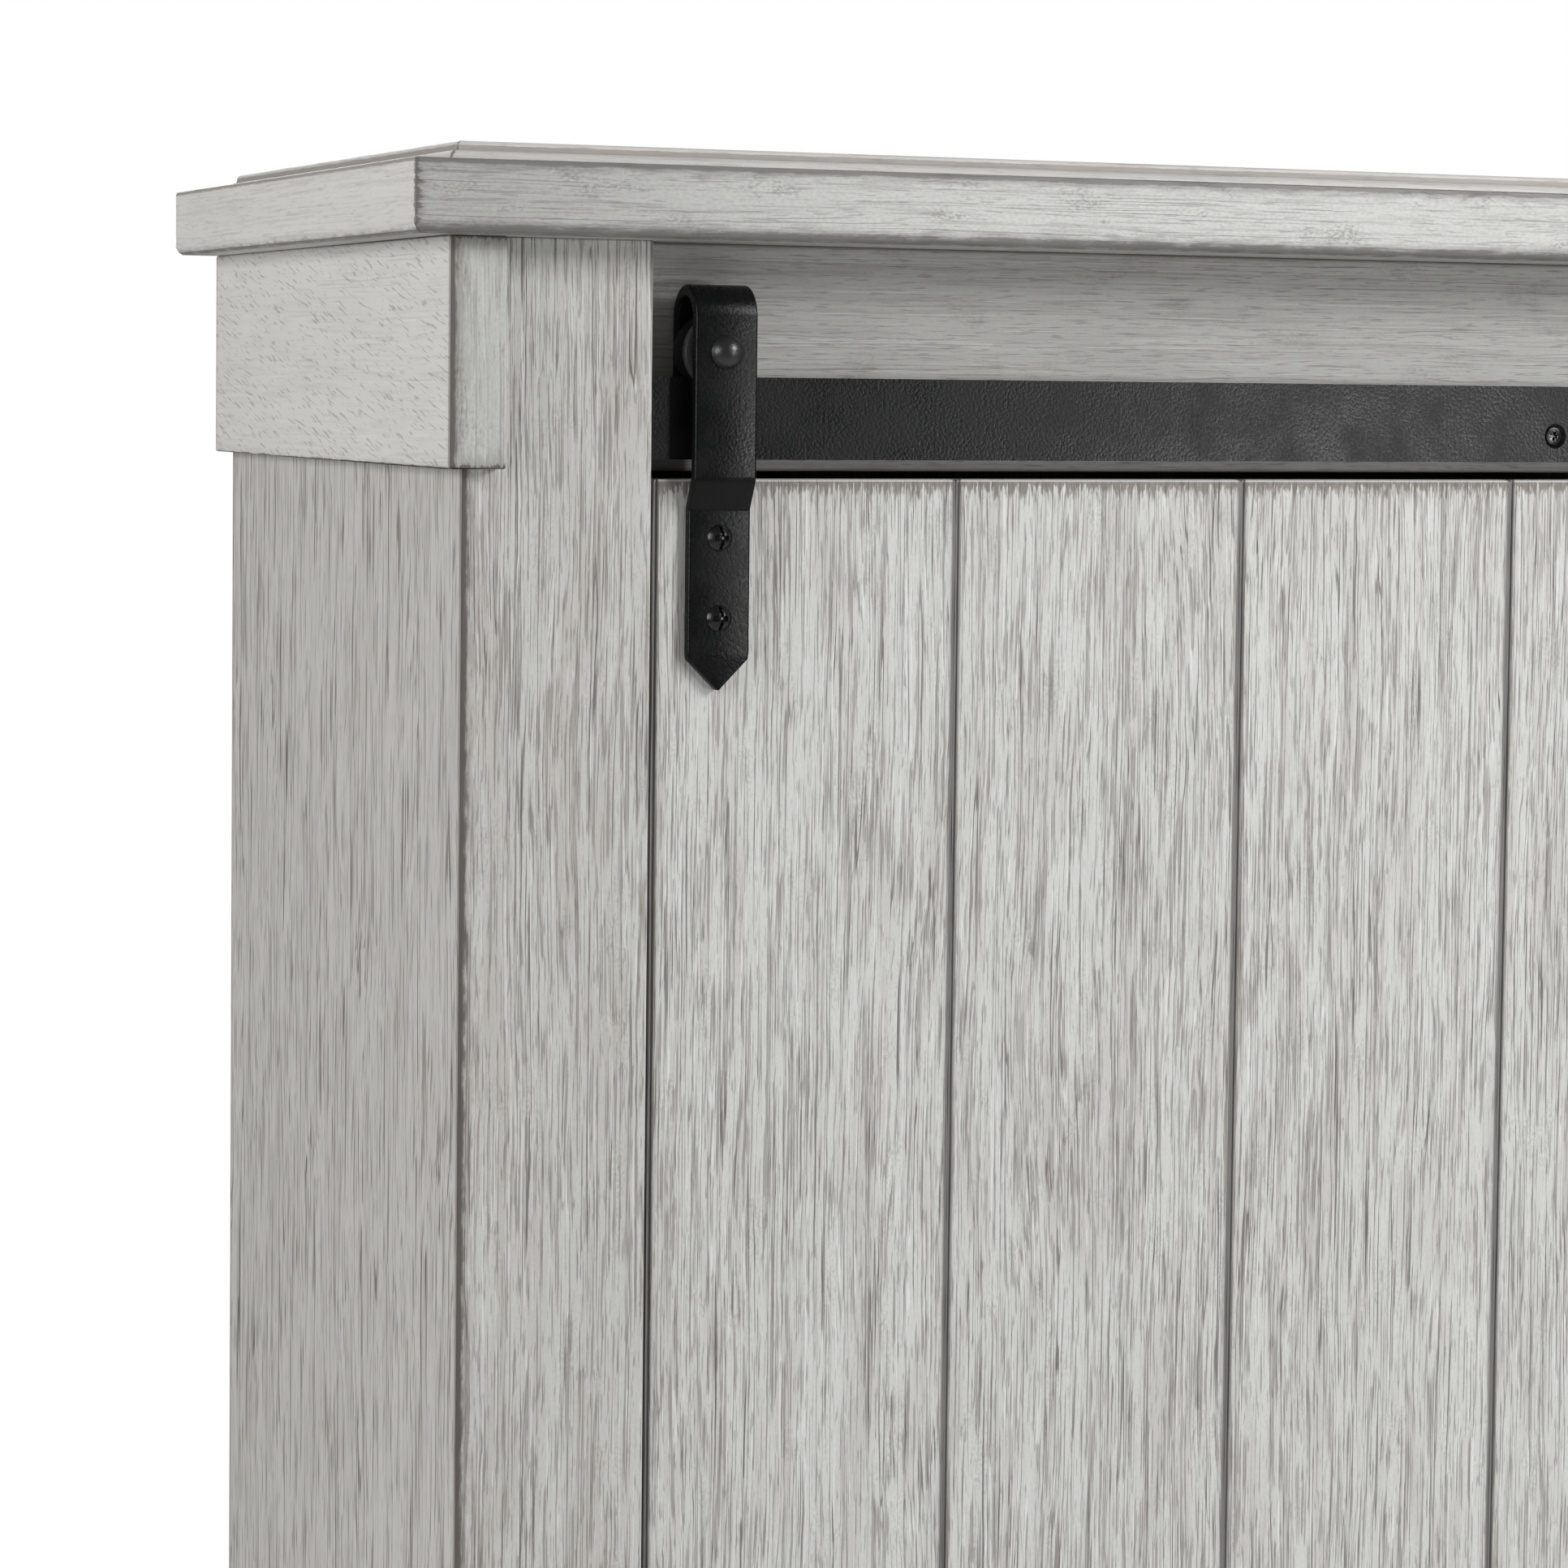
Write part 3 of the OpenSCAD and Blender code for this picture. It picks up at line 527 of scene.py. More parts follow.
def turned(profile: Array, centre: Array, axis: Array, around: int = 48, wrap: bool = False) -> Skin:
    """Surface of revolution.

    Each profile point, a radius and a distance along the axis, is swept round the
    axis on a full circle. An open profile ends in two small flat lids.

    Args:
        profile: Radius and distance along the axis, as rows.
        centre: Point on the axis with distance 0.
        axis: Direction of the axis.
        around: Number of points on the circle.
        wrap: Whether the profile is a closed loop, as on a part with a bore.

    Returns:
        The surface.
    """
    axis = unit(np.array(axis, float))
    side = unit(np.cross(axis, [0.3, 0.2, 0.9]))
    other = np.cross(axis, side)
    turn = np.linspace(0, 2 * math.pi, around, endpoint=False)[None, :, None]
    circle = np.cos(turn) * side + np.sin(turn) * other
    points = centre + profile[:, None, :1] * circle + profile[:, None, 1:] * axis
    run = np.concatenate([[0], np.cumsum(np.linalg.norm(np.diff(profile, axis=0), axis=1))])
    u, v = np.meshgrid(run, np.linspace(0, 1, around + 1) * profile[:, 0].max() * 2 * math.pi, indexing="ij")
    return Skin.grid(points, np.stack([u, v], -1), wrap=wrap).outward()


def cross_cut(x: Array, y: Array, arms: tuple[tuple[float, float], ...], soft: float) -> Array:
    """Share of full depth of a cross or slot recess at points of a screw head.

    Each arm is a rectangle; the share is 1 inside it and falls to 0 over a soft wall.
    The deepest arm counts.

    Args:
        x: Coordinates across the head.
        y: Coordinates up the head.
        arms: Half sizes of the rectangles.
        soft: Width of the walls.

    Returns:
        Shares from 0 to 1.
    """
    cuts = [
        np.clip((hx - np.abs(x)) / soft + 0.5, 0, 1) * np.clip((hy - np.abs(y)) / soft + 0.5, 0, 1)
        for hx, hy in arms
    ]
    return np.max(cuts, axis=0)


def screw_head(
    centre: Array,
    out: Array,
    radius: float,
    rise: float,
    shank: tuple[float, float],
    arms: tuple[tuple[float, float], ...],
    deep: float,
    roll: float = 0.0,
) -> Skin:
    """Screw whose head has a driver recess.

    The head's height over its seat is a parabola of the radius, less the recess depth
    where the point lies in an arm of the cross. Below the seat comes a plain shank.

    Args:
        centre: Middle of the seat.
        out: Direction that the head points in.
        radius: Radius of the head.
        rise: Height of the head over its seat.
        shank: Radius and length of the shank.
        arms: Half sizes of the recess arms, in metres.
        deep: Depth of the recess.
        roll: Angle that the recess is turned by.

    Returns:
        The surface.
    """
    r = np.concatenate([np.linspace(0.15 * MM, radius * 0.97, 22), [radius, radius * 0.985]])
    h = rise * (1 - (r / radius) ** 2) + 0.35 * MM
    h[-2], h[-1] = 0.2 * MM, 0.0
    r, h = np.append(r, [shank[0], shank[0]]), np.append(h, [0.0, -shank[1]])
    turn = np.linspace(0, 2 * math.pi, 73)[:-1]
    x, y = r[:, None] * np.cos(turn), r[:, None] * np.sin(turn)
    head = (np.arange(len(r)) < 20)[:, None]
    u, v = r[:, None] * np.cos(turn - roll), r[:, None] * np.sin(turn - roll)
    z = h[:, None] - deep * cross_cut(u, v, arms, 0.35 * MM) * head
    out = np.array(out, float)
    side = unit(np.cross([0.0, 0.0, 1.0], out)) if abs(out[2]) < 0.9 else np.array([1.0, 0, 0])
    up = np.cross(out, side)
    points = centre + x[..., None] * side + y[..., None] * up + z[..., None] * out
    u, v = np.meshgrid(r, np.linspace(0, 1, 74), indexing="ij")
    return Skin.grid(points, np.stack([u, v], -1)[:, : len(turn) + 1]).outward()


def rounded_line(points: list[tuple[float, float]], radii: list[float], step: float) -> Array:
    """Line through some points with rounded corners.

    Straight stretches are divided evenly, and every inner corner is a fillet arc.

    Args:
        points: Corners of the line.
        radii: Radius at each inner corner.
        step: Largest spacing of the points.

    Returns:
        Points along the line, as rows.
    """
    at = np.array(points, float)
    parts = [at[:1]]
    for k, radius in enumerate(radii, 1):
        turn = 1 - float(unit(at[k] - at[k - 1]) @ unit(at[k + 1] - at[k]))
        parts.append(fillet(at[k - 1], at[k], at[k + 1], radius, 6 + round(12 * turn)))
    parts.append(at[-1:])
    rows = [parts[0]]
    for part in parts[1:]:
        start, end = rows[-1][-1], part[0]
        count = max(1, math.ceil(float(np.linalg.norm(end - start)) / step))
        rows += [start + (end - start) * (np.arange(1, count)[:, None] / count), part]
    return np.concatenate(rows)


def ribbon(line: Array, x: float, half: Array, thick: float, edge: float) -> Skin:
    """Flat bar bent along a line in the YZ plane.

    At each point of the line stands a rounded rectangle: its width lies along X and
    its thickness along the line's normal, which is the tangent turned by a right
    angle. The rectangle's half width may change along the line.

    Args:
        line: Y and Z of the bar's middle, as rows.
        x: Middle of the bar in X.
        half: Half width at each point of the line.
        thick: Thickness.
        edge: Radius of the long edges.

    Returns:
        The surface.
    """
    tangent = unit(np.gradient(line, axis=0))
    normal = np.stack([tangent[:, 1], -tangent[:, 0]], 1)
    turn = np.linspace(0, math.pi / 2, ARC_STEPS + 1)
    arc = edge * np.stack([np.cos(turn) - 1, np.sin(turn) - 1], 1)
    corner = arc + [0, thick / 2]
    ring = np.concatenate([corner, corner[::-1] * [-1, 1], -corner, corner[::-1] * [1, -1]])
    side = np.repeat([1, -1, -1, 1], len(corner))
    inset = ring[:, 0] * side
    across = (half[:, None] + inset).clip(0) * side
    points = np.stack(
        [
            x + across,
            line[:, :1] + ring[:, 1] * normal[:, :1],
            line[:, 1:] + ring[:, 1] * normal[:, 1:],
        ],
        -1,
    )
    run = np.concatenate([[0], np.cumsum(np.linalg.norm(np.diff(line, axis=0), axis=1))])
    u, v = np.meshgrid(run, np.linspace(0, 2 * (half.max() + thick), len(ring) + 1), indexing="ij")
    return Skin.grid(points, np.stack([u, v], -1)).outward()


def tray(
    low: Array, high: Array, edge: Array, wear: Array, corner: float, seed: int, depth: float,
    step: float = 14 * MM,
) -> Skin:
    """Board with a shaped edge carried round its left, front and right sides.

    Each edge point is an inset and a height. Its ring is the board's rectangle drawn
    in by the inset on three sides, with its front corners on arcs; the back stays
    straight. Brushed grain pushes the points of the edge further inwards.

    Args:
        low: Lowest corner of the board.
        high: Highest corner.
        edge: Inset and height of the edge points, from the bottom up.
        wear: Distance from each edge point to a worn arris.
        corner: Radius of the front corners in plan.
        seed: Seed of this board's grain.
        depth: Depth of the brushed grain.
        step: Largest spacing of points along a side.

    Returns:
        The surface.
    """
    inset = edge[:, :1]
    radius = np.maximum(corner - inset, 0.3 * MM)
    left, right, front = low[0] + inset, high[0] - inset, low[1] + inset
    q = np.linspace(0, math.pi / 2, ARC_STEPS + 3)[1:-1]
    wide, deep = high[0] - low[0], high[1] - low[1]
    side = spread(deep, 1 * MM, step)[::-1] / deep
    along = spread(wide, 1 * MM, step) / wide
    flat = np.zeros_like(radius)
    start_y = front + radius
    x = [
        left + flat * side,
        left + radius * (1 - np.cos(q)),
        left + radius + (right - left - 2 * radius) * along,
        right - radius * (1 - np.sin(q)),
        right + flat * side,
    ]
    y = [
        start_y + (high[1] - start_y) * side,
        front + radius * (1 - np.sin(q)),
        front + flat * along,
        front + radius * (1 - np.cos(q)),
        start_y + (high[1] - start_y) * side[::-1],
    ]
    x, y = np.concatenate(x, 1), np.concatenate(y, 1)
    n_side, n_front = len(side), len(along)
    in_x = np.concatenate([np.ones(n_side), np.cos(q), np.zeros(n_front), -np.sin(q), -np.ones(n_side)])
    in_y = np.concatenate([np.zeros(n_side), np.sin(q), np.ones(n_front), np.cos(q), np.zeros(n_side)])
    outer = np.hypot(np.diff(x[len(x) // 2]), np.diff(y[len(x) // 2]))
    run = np.concatenate([[0], np.cumsum(outer)])
    rise = np.concatenate([[0], np.cumsum(np.hypot(*np.diff(edge, axis=0).T))])
    relief = brushed_depth(run[None], rise[:, None], seed) * smooth(wear / (2 * MM))[:, None]
    relief = relief * (inset < EDGE_ONLY)
    corners = run[[n_side + len(q) // 2, -n_side - len(q) // 2 - 1]]
    ends = np.abs(run[None] - corners[:, None]).min(0)
    points = np.stack(
        [x + relief * depth * in_x, y + relief * depth * in_y, low[2] + edge[:, 1:] + 0 * x], -1
    )
    worn = np.stack([wear[:, None] + 0 * x, ends[None] + 0 * x, relief], -1)
    shift = np.random.default_rng(seed).random(2) * 40
    u, v = np.meshgrid(np.append(run, run[-1] + wide), rise)
    lids = np.stack([x[[0, -1]], y[[0, -1]]], -1) + shift
    return Skin.grid(points, np.stack([u, v], -1) + shift, worn, lids).outward()


# ---- Finishes ----


class Nodes:
    """Short hand for the node tree of one material.

    Attributes:
        material: The material.
        tree: Its node tree.
        shader: Its principled shader.
    """

    def __init__(self, name: str) -> None:
        """Starts a material with a principled shader."""
        self.material = bpy.data.materials.new(name)
        self.material.use_nodes = True
        self.tree = self.material.node_tree
        self.shader = self.tree.nodes["Principled BSDF"]

    def add(self, kind: str, inputs: dict | None = None, **settings: object) -> bpy.types.Node:
        """Adds a node, sets its properties and fills or links its inputs."""
        node = self.tree.nodes.new(kind)
        for key, value in settings.items():
            setattr(node, key, value)
        for key, value in (inputs or {}).items():
            self.put(node.inputs[key], value)
        return node

    def put(self, socket: bpy.types.NodeSocket, value: object) -> None:
        """Links a socket to another one, or sets it to a constant."""
        if isinstance(value, bpy.types.NodeSocket):
            self.tree.links.new(value, socket)
        else:
            socket.default_value = value

    def maths(self, operation: str, *values: object) -> bpy.types.NodeSocket:
        """Result of a maths node on numbers or sockets."""
        return self.add("ShaderNodeMath", dict(enumerate(values)), operation=operation).outputs[0]

    def vector(self, operation: str, *values: object) -> bpy.types.NodeSocket:
        """Result of a vector maths node on vectors or sockets."""
        return self.add("ShaderNodeVectorMath", dict(enumerate(values)), operation=operation).outputs[0]

    def ramp(
        self, value: object, low: float, high: float, out: tuple[float, float] = (0.0, 1.0)
    ) -> bpy.types.NodeSocket:
        """Value carried smoothly from one range to another and held there."""
        inputs = {"Value": value, "From Min": low, "From Max": high, "To Min": out[0], "To Max": out[1]}
        return self.add("ShaderNodeMapRange", inputs, interpolation_type="SMOOTHSTEP").outputs[0]

    def noise(
        self, place: object, scale: tuple[float, float, float], detail: float, rough: float = 0.5
    ) -> bpy.types.NodeSocket:
        """Noise over a place that is first stretched by a scale per axis."""
        stretched = self.vector("MULTIPLY", place, scale)
        inputs = {"Vector": stretched, "Scale": 1.0, "Detail": detail, "Roughness": rough}
        return self.add("ShaderNodeTexNoise", inputs).outputs["Fac"]

    def drawn(self, place: object, grain: "Grain") -> bpy.types.NodeSocket:
        """Noise drawn out along the grain."""
        return self.noise(place, (grain.along, grain.across, grain.across), grain.detail, grain.rough)

    def marks(
        self, place: object, grain: "Grain", out: tuple[float, float] = (0.0, 1.0)
    ) -> bpy.types.NodeSocket:
        """Drawn-out noise, cut to the range that counts and carried to another one."""
        return self.ramp(self.drawn(place, grain), grain.low, grain.high, out)

    def mix(self, share: object, first: object, second: object) -> bpy.types.NodeSocket:
        """Two colours mixed by a share."""
        node = self.add("ShaderNodeMix", data_type="RGBA")
        colours = [s for s in node.inputs if s.type == "RGBA"]
        self.put(node.inputs[0], share)
        for socket, value in zip(colours, (first, second)):
            self.put(socket, (*value, 1.0) if isinstance(value, tuple) else value)
        return [s for s in node.outputs if s.type == "RGBA"][0]

    def place(self, axis: Axis | None) -> bpy.types.NodeSocket:
        """Place as along, across and through the grain.

        Without an axis it is the piece's own grain map; with one, object coordinates
        with that axis moved to the front.
        """
        if axis is None:
            return self.add("ShaderNodeUVMap", uv_map=GRAIN_MAP).outputs["UV"]
        coords = self.add("ShaderNodeTexCoord").outputs["Object"]
        if axis is Axis.X:
            return coords
        parts = self.add("ShaderNodeSeparateXYZ", {0: coords})
        order = [(axis.value + k) % 3 for k in range(3)]
        return self.add("ShaderNodeCombineXYZ", {k: parts.outputs[n] for k, n in enumerate(order)}).outputs[0]

    def bump(self, height: object, distance: float) -> None:
        """Feeds a height through a bump node into the shader."""
        node = self.add("ShaderNodeBump", {"Height": height, "Distance": distance, "Strength": 1.0})
        self.put(self.shader.inputs["Normal"], node.outputs[0])


@dataclass(frozen=True)
class Grain:
    """Noise drawn out along the grain of wood, and the range of it that counts.

    Attributes:
        along: Cells per metre along the grain.
        across: Cells per metre across it.
        detail: Number of finer layers.
        rough: Strength of each finer layer beside the one before.
        low: Level at which its marks begin.
        high: Level at which they are full.
    """

    along: float
    across: float
    detail: float
    rough: float = 0.5
    low: float = 0.0
    high: float = 1.0


ZONES = Grain(6.5, 58, 3.0, 0.6, 0.44, 0.63)
STREAK_RUNS = Grain(44, 240, 1.0, 0.5, 0.40, 0.52)
HAIR_RUNS = Grain(22, 320, 1.0, 0.5, 0.40, 0.56)
LINE_RUNS = Grain(9, 60, 2.0, 0.5, 0.42, 0.56)
LINE_SPLITS = Grain(5, 620, 1.0, 0.5, 0.43, 0.55)
PATCHES = Grain(24, 50, 4.0, 0.65, 0.52, 0.68)
GRIT = Grain(420, 760, 2.0, 0.6, 0.42, 0.62)
WANDER = Grain(3.4, 13, 2.0)
TREMBLE = Grain(36, 120, 2.0)
RAGGED_ARRIS = Grain(60, 260, 3.0, 0.65, 0.3, 0.75)
RAGGED_END = Grain(60, 420, 3.0, 0.7, 0.3, 0.75)
HAIR_WIDTH = (0.050, 0.02)
LINE_WIDTH = (0.020, 0.006)


@dataclass(frozen=True)
class WoodFinish:
    """Whitewashed wood with dark glaze in its grain.

    Attributes:
        name: Name of the material.
        pale: Colour of the paint.
        shade: Colour of the browner zones.
        streak: Colour of the brushed streaks.
        pore: Colour of thin lines and pores.
        highlight_tint: Colour of the painted highlight beside each streak, which stands in for the light on
            its brushed ridge.
        glaze: Colour of the glaze at arrises.
        seam: Colour of the groove between two boards.
        rub: Colour of the eased ends: rubbed free of glaze, and paler still as a painted highlight where they
            catch the light.
        streaks: Strength of the streaks.
        share: Share of the face that streaks take, as a shift of their threshold.
        crowding: Further shift of that threshold in the browner zones.
        ridge_highlight_shift: Distance from a streak to the raised ridge and its painted highlight at its
            side, in metres.
        hairs: Strength of the hair-thin lines.
        lines: Strength of the long thin lines.
        pores: Strength of the short pores.
        ridge_highlights: Strength of the raised ridges in the bump and of their painted highlight.
        mottle: Strength of the smudges.
        zones: Strength of the browner zones.
        pitch: Streaks per metre across the grain.
        reach: Streaks per metre along the grain.
        hair_pitch: Hair-thin lines per metre across the grain.
        line_pitch: Long lines per metre across the grain.
        pore_pitch: Pores per metre across the grain.
        pore_length: Pores per metre along the grain.
        slant: Slope of the pores to the grain.
        swing: How far lines swing sideways, in metres.
        shake: How far they tremble, in metres.
        relief: Height of the fine bump, in metres.
        rim: Width of the glaze at an arris, in metres.
        rim_share: Strength of that glaze.
        haze: Strength of the soft glaze beside it.
        haze_reach: Width of that soft glaze, in rim widths.
        end_rim: Width of the glaze at an end, in metres.
        end_rub_highlight: Width of the end that is rubbed free of glaze and painted as a highlight, in
            metres.
        end_haze: Strength of a broad darker zone towards the ends.
        end_reach: Width of that zone, in metres.
        rough: Roughness.
    """

    name: str
    pale: Colour = (0.565, 0.57, 0.55)
    shade: Colour = (0.40, 0.37, 0.345)
    streak: Colour = (0.185, 0.165, 0.150)
    pore: Colour = (0.105, 0.092, 0.085)
    highlight_tint: Colour = (0.74, 0.745, 0.735)
    glaze: Colour = (0.155, 0.132, 0.114)
    seam: Colour = (0.165, 0.162, 0.158)
    rub: Colour = (0.62, 0.61, 0.59)
    streaks: float = 0.56
    share: float = 0.0
    crowding: float = 0.04
    ridge_highlight_shift: float = 0.0005
    hairs: float = 0.62
    lines: float = 0.8
    pores: float = 0.4
    ridge_highlights: float = 0.5
    mottle: float = 0.28
    zones: float = 0.36
    pitch: float = 760.0
    reach: float = 5.0
    hair_pitch: float = 360.0
    line_pitch: float = 170.0
    pore_pitch: float = 1000.0
    pore_length: float = 70.0
    slant: float = 0.0
    swing: float = 0.005
    shake: float = 0.0008
    relief: float = 0.0003
    rim: float = 0.0006
    rim_share: float = 0.6
    haze: float = 0.25
    haze_reach: float = 7.0
    end_rim: float = 0.003
    end_rub_highlight: float = 0.0
    end_haze: float = 0.0
    end_reach: float = 0.2
    rough: float = 0.52

    def build(self, axis: Axis | None = None) -> bpy.types.Material:
        """Builds the material.

        Lines are noise drawn out along the grain, whose across coordinate wanders by
        slower noise. Broad noise mixes pale paint with browner zones, in which the
        streaks stand closer. Streaks lie where fine noise is high, each with a raised
        ridge at one side, which is the same noise a little further across; the ridge
        is a bump and also a painted highlight, a paler colour for the light it would
        catch. Hairs and long thin lines lie where slower noise crosses its middle
        value; the long ones are split by finer noise, so that none grows wide. Pores
        are short spots, and smudges are grit inside broad patches. Near worn arrises
        and ends the glaze takes over with a ragged edge.

        Args:
            axis: Grain axis for CAD nodes, or nothing for pieces with a grain map.

        Returns:
            The material.
        """
        n = Nodes(self.name if axis is None else f"{self.name}_{axis.name.lower()}")
        raw = n.place(axis)
        place = self._wandering(n, raw)
        zone = n.marks(place, ZONES)
        crowd = n.maths("MULTIPLY_ADD", zone, self.crowding, self.share)
        gaps = n.marks(place, STREAK_RUNS, (0.15, 1.0))
        # The same streaks a little further across: a ridge that is raised in the bump and painted paler as a
        # highlight.
        beside = n.vector("ADD", place, (0.0, self.ridge_highlight_shift, self.ridge_highlight_shift))
        dark, ridge = (n.maths("MULTIPLY", self._streak(n, at, crowd), gaps) for at in (place, beside))
        hair = self._contour(n, place, 3.0, self.hair_pitch, HAIR_WIDTH)
        hair = n.maths("MULTIPLY", hair, n.marks(place, HAIR_RUNS, (0.0, self.hairs)))
        thin = self._contour(n, place, 2.2, self.line_pitch, LINE_WIDTH)
        split = n.maths("MULTIPLY", n.marks(place, LINE_SPLITS), self.lines)
        line = n.maths("MULTIPLY", n.maths("MULTIPLY", thin, n.marks(place, LINE_RUNS)), split)
        spots = Grain(self.pore_length, self.pore_pitch, 1.0, 0.5, 0.60, 0.68)
        pore = n.maths("MULTIPLY", n.marks(self._slanted(n, place), spots), self.pores)
        patch = n.marks(raw, PATCHES)
        grit = n.maths("MULTIPLY", n.marks(raw, GRIT), self.mottle)
        smudge = n.maths("MULTIPLY", n.ramp(patch, 0.0, 1.0, (0.3, 1.0)), grit)
        colour = n.mix(n.maths("MULTIPLY", zone, self.zones), self.pale, self.shade)
        for share, tint in (
            (smudge, self.streak),
            (hair, self.streak),
            # Painted highlight: a paler colour on each ridge where the light would catch it.
            (n.maths("MULTIPLY", ridge, self.ridge_highlights), self.highlight_tint),
            (n.maths("MULTIPLY", dark, self.streaks), self.streak),
            (line, self.pore),
            (pore, self.pore),
        ):
            colour = n.mix(share, colour, tint)
        low = n.maths("ADD", n.maths("MULTIPLY", dark, self.streaks), n.maths("MULTIPLY", hair, 0.4))
        low = n.maths("ADD", low, n.maths("ADD", line, n.maths("MULTIPLY", pore, 0.5)))
        if axis is None:
            colour = self._glazed(n, colour, raw)
        n.put(n.shader.inputs["Base Color"], colour)
        n.put(n.shader.inputs["Roughness"], n.ramp(patch, 0.0, 1.0, (self.rough - 0.05, self.rough + 0.12)))
        n.shader.inputs["Specular IOR Level"].default_value = 0.3
        n.bump(n.maths("SUBTRACT", n.maths("MULTIPLY", ridge, 0.5 * self.ridge_highlights), low), self.relief)
        return n.material

    def _wandering(self, n: Nodes, raw: bpy.types.NodeSocket) -> bpy.types.NodeSocket:
        """Place whose across coordinate wanders by slow noise and trembles by faster noise."""
        wander = n.maths("SUBTRACT", n.drawn(raw, WANDER), 0.5)
        tremble = n.maths("SUBTRACT", n.drawn(raw, TREMBLE), 0.5)
        aside = n.maths("MULTIPLY_ADD", wander, self.swing * 2, n.maths("MULTIPLY", tremble, self.shake))
        return n.vector("ADD", raw, n.add("ShaderNodeCombineXYZ", {1: aside, 2: aside}).outputs[0])

    def _streak(
        self, n: Nodes, place: bpy.types.NodeSocket, crowd: bpy.types.NodeSocket
    ) -> bpy.types.NodeSocket:
        """Brushed streaks at a place: 1 where noise, raised by the crowding, passes a sharp level."""
        fine = n.drawn(place, Grain(self.reach, self.pitch, 1.0))
        return n.ramp(n.maths("ADD", fine, crowd), 0.605, 0.64)

    def _contour(
        self, n: Nodes, place: bpy.types.NodeSocket, along: float, across: float, width: tuple[float, float]
    ) -> bpy.types.NodeSocket:
        """Thin lines where noise crosses its middle value; the width is of their edge and core."""
        slow = n.drawn(place, Grain(along, across, 2.0))
        return n.ramp(n.maths("ABSOLUTE", n.maths("SUBTRACT", slow, 0.5)), *width)

    def _slanted(self, n: Nodes, place: bpy.types.NodeSocket) -> bpy.types.NodeSocket:
        """Place whose across coordinate grows with the one along the grain, by the slant."""
        if not self.slant:
            return place
        along = n.add("ShaderNodeSeparateXYZ", {0: place}).outputs[0]
        lean = n.add("ShaderNodeCombineXYZ", {1: n.maths("MULTIPLY", along, self.slant)}).outputs[0]
        return n.vector("ADD", place, lean)

    def _glazed(
        self, n: Nodes, colour: bpy.types.NodeSocket, raw: bpy.types.NodeSocket
    ) -> bpy.types.NodeSocket:
        """Lays glaze over the colour at arrises, ends and deep furrows, and darkens a broad zone towards the
        ends.

        The wear attribute gives the distances and the furrow's depth. A distance is
        divided by the rim's width, which noise makes ragged, and fades out smoothly.
        A distance below zero marks a seam.
        """
        wear = n.add("ShaderNodeAttribute", attribute_name=WEAR_MAP).outputs["Vector"]
        parts = n.add("ShaderNodeSeparateXYZ", {0: wear})
        edge, end, depth = (parts.outputs[k] for k in range(3))
        rim = n.maths("MULTIPLY", n.marks(raw, RAGGED_ARRIS, (0.6, 1.6)), self.rim)
        end_rim = n.maths("MULTIPLY", n.marks(raw, RAGGED_END, (0.15, 2.4)), self.end_rim)
        broad = n.ramp(end, self.end_reach, 0.0, (0.0, self.end_haze))
        furrow = n.ramp(depth, 0.55, 1.0, (0.0, 0.1 * self.streaks))
        near = n.maths("MINIMUM", n.maths("ABSOLUTE", edge), end)
        soft = n.ramp(n.maths("DIVIDE", near, rim), self.haze_reach, 0.0, (0.0, self.haze))
        at_end = n.ramp(n.maths("DIVIDE", end, end_rim), 1.2, 0.5, (0.0, 0.85))
        at_arris = n.ramp(n.maths("DIVIDE", edge, rim), 1.3, 0.4, (0.0, self.rim_share))
        in_seam = n.ramp(edge, 0.1 * SEAM, 0.6 * SEAM, (0.0, 0.92))
        # Eased ends: rubbed free of glaze, and painted paler as a highlight for the light that they catch.
        rub_highlight_share = 0.8 if self.end_rub_highlight else 0.0
        rubbed = n.ramp(end, self.end_rub_highlight, self.end_rub_highlight - 0.8 * MM, (0.0, rub_highlight_share))
        for share, tint in (
            (broad, self.streak),
            (furrow, self.streak),
            (soft, self.streak),
            (at_end, self.glaze),
            (at_arris, self.glaze),
            (rubbed, self.rub),
            (in_seam, self.seam),
        ):
            colour = n.mix(share, colour, tint)
        return colour


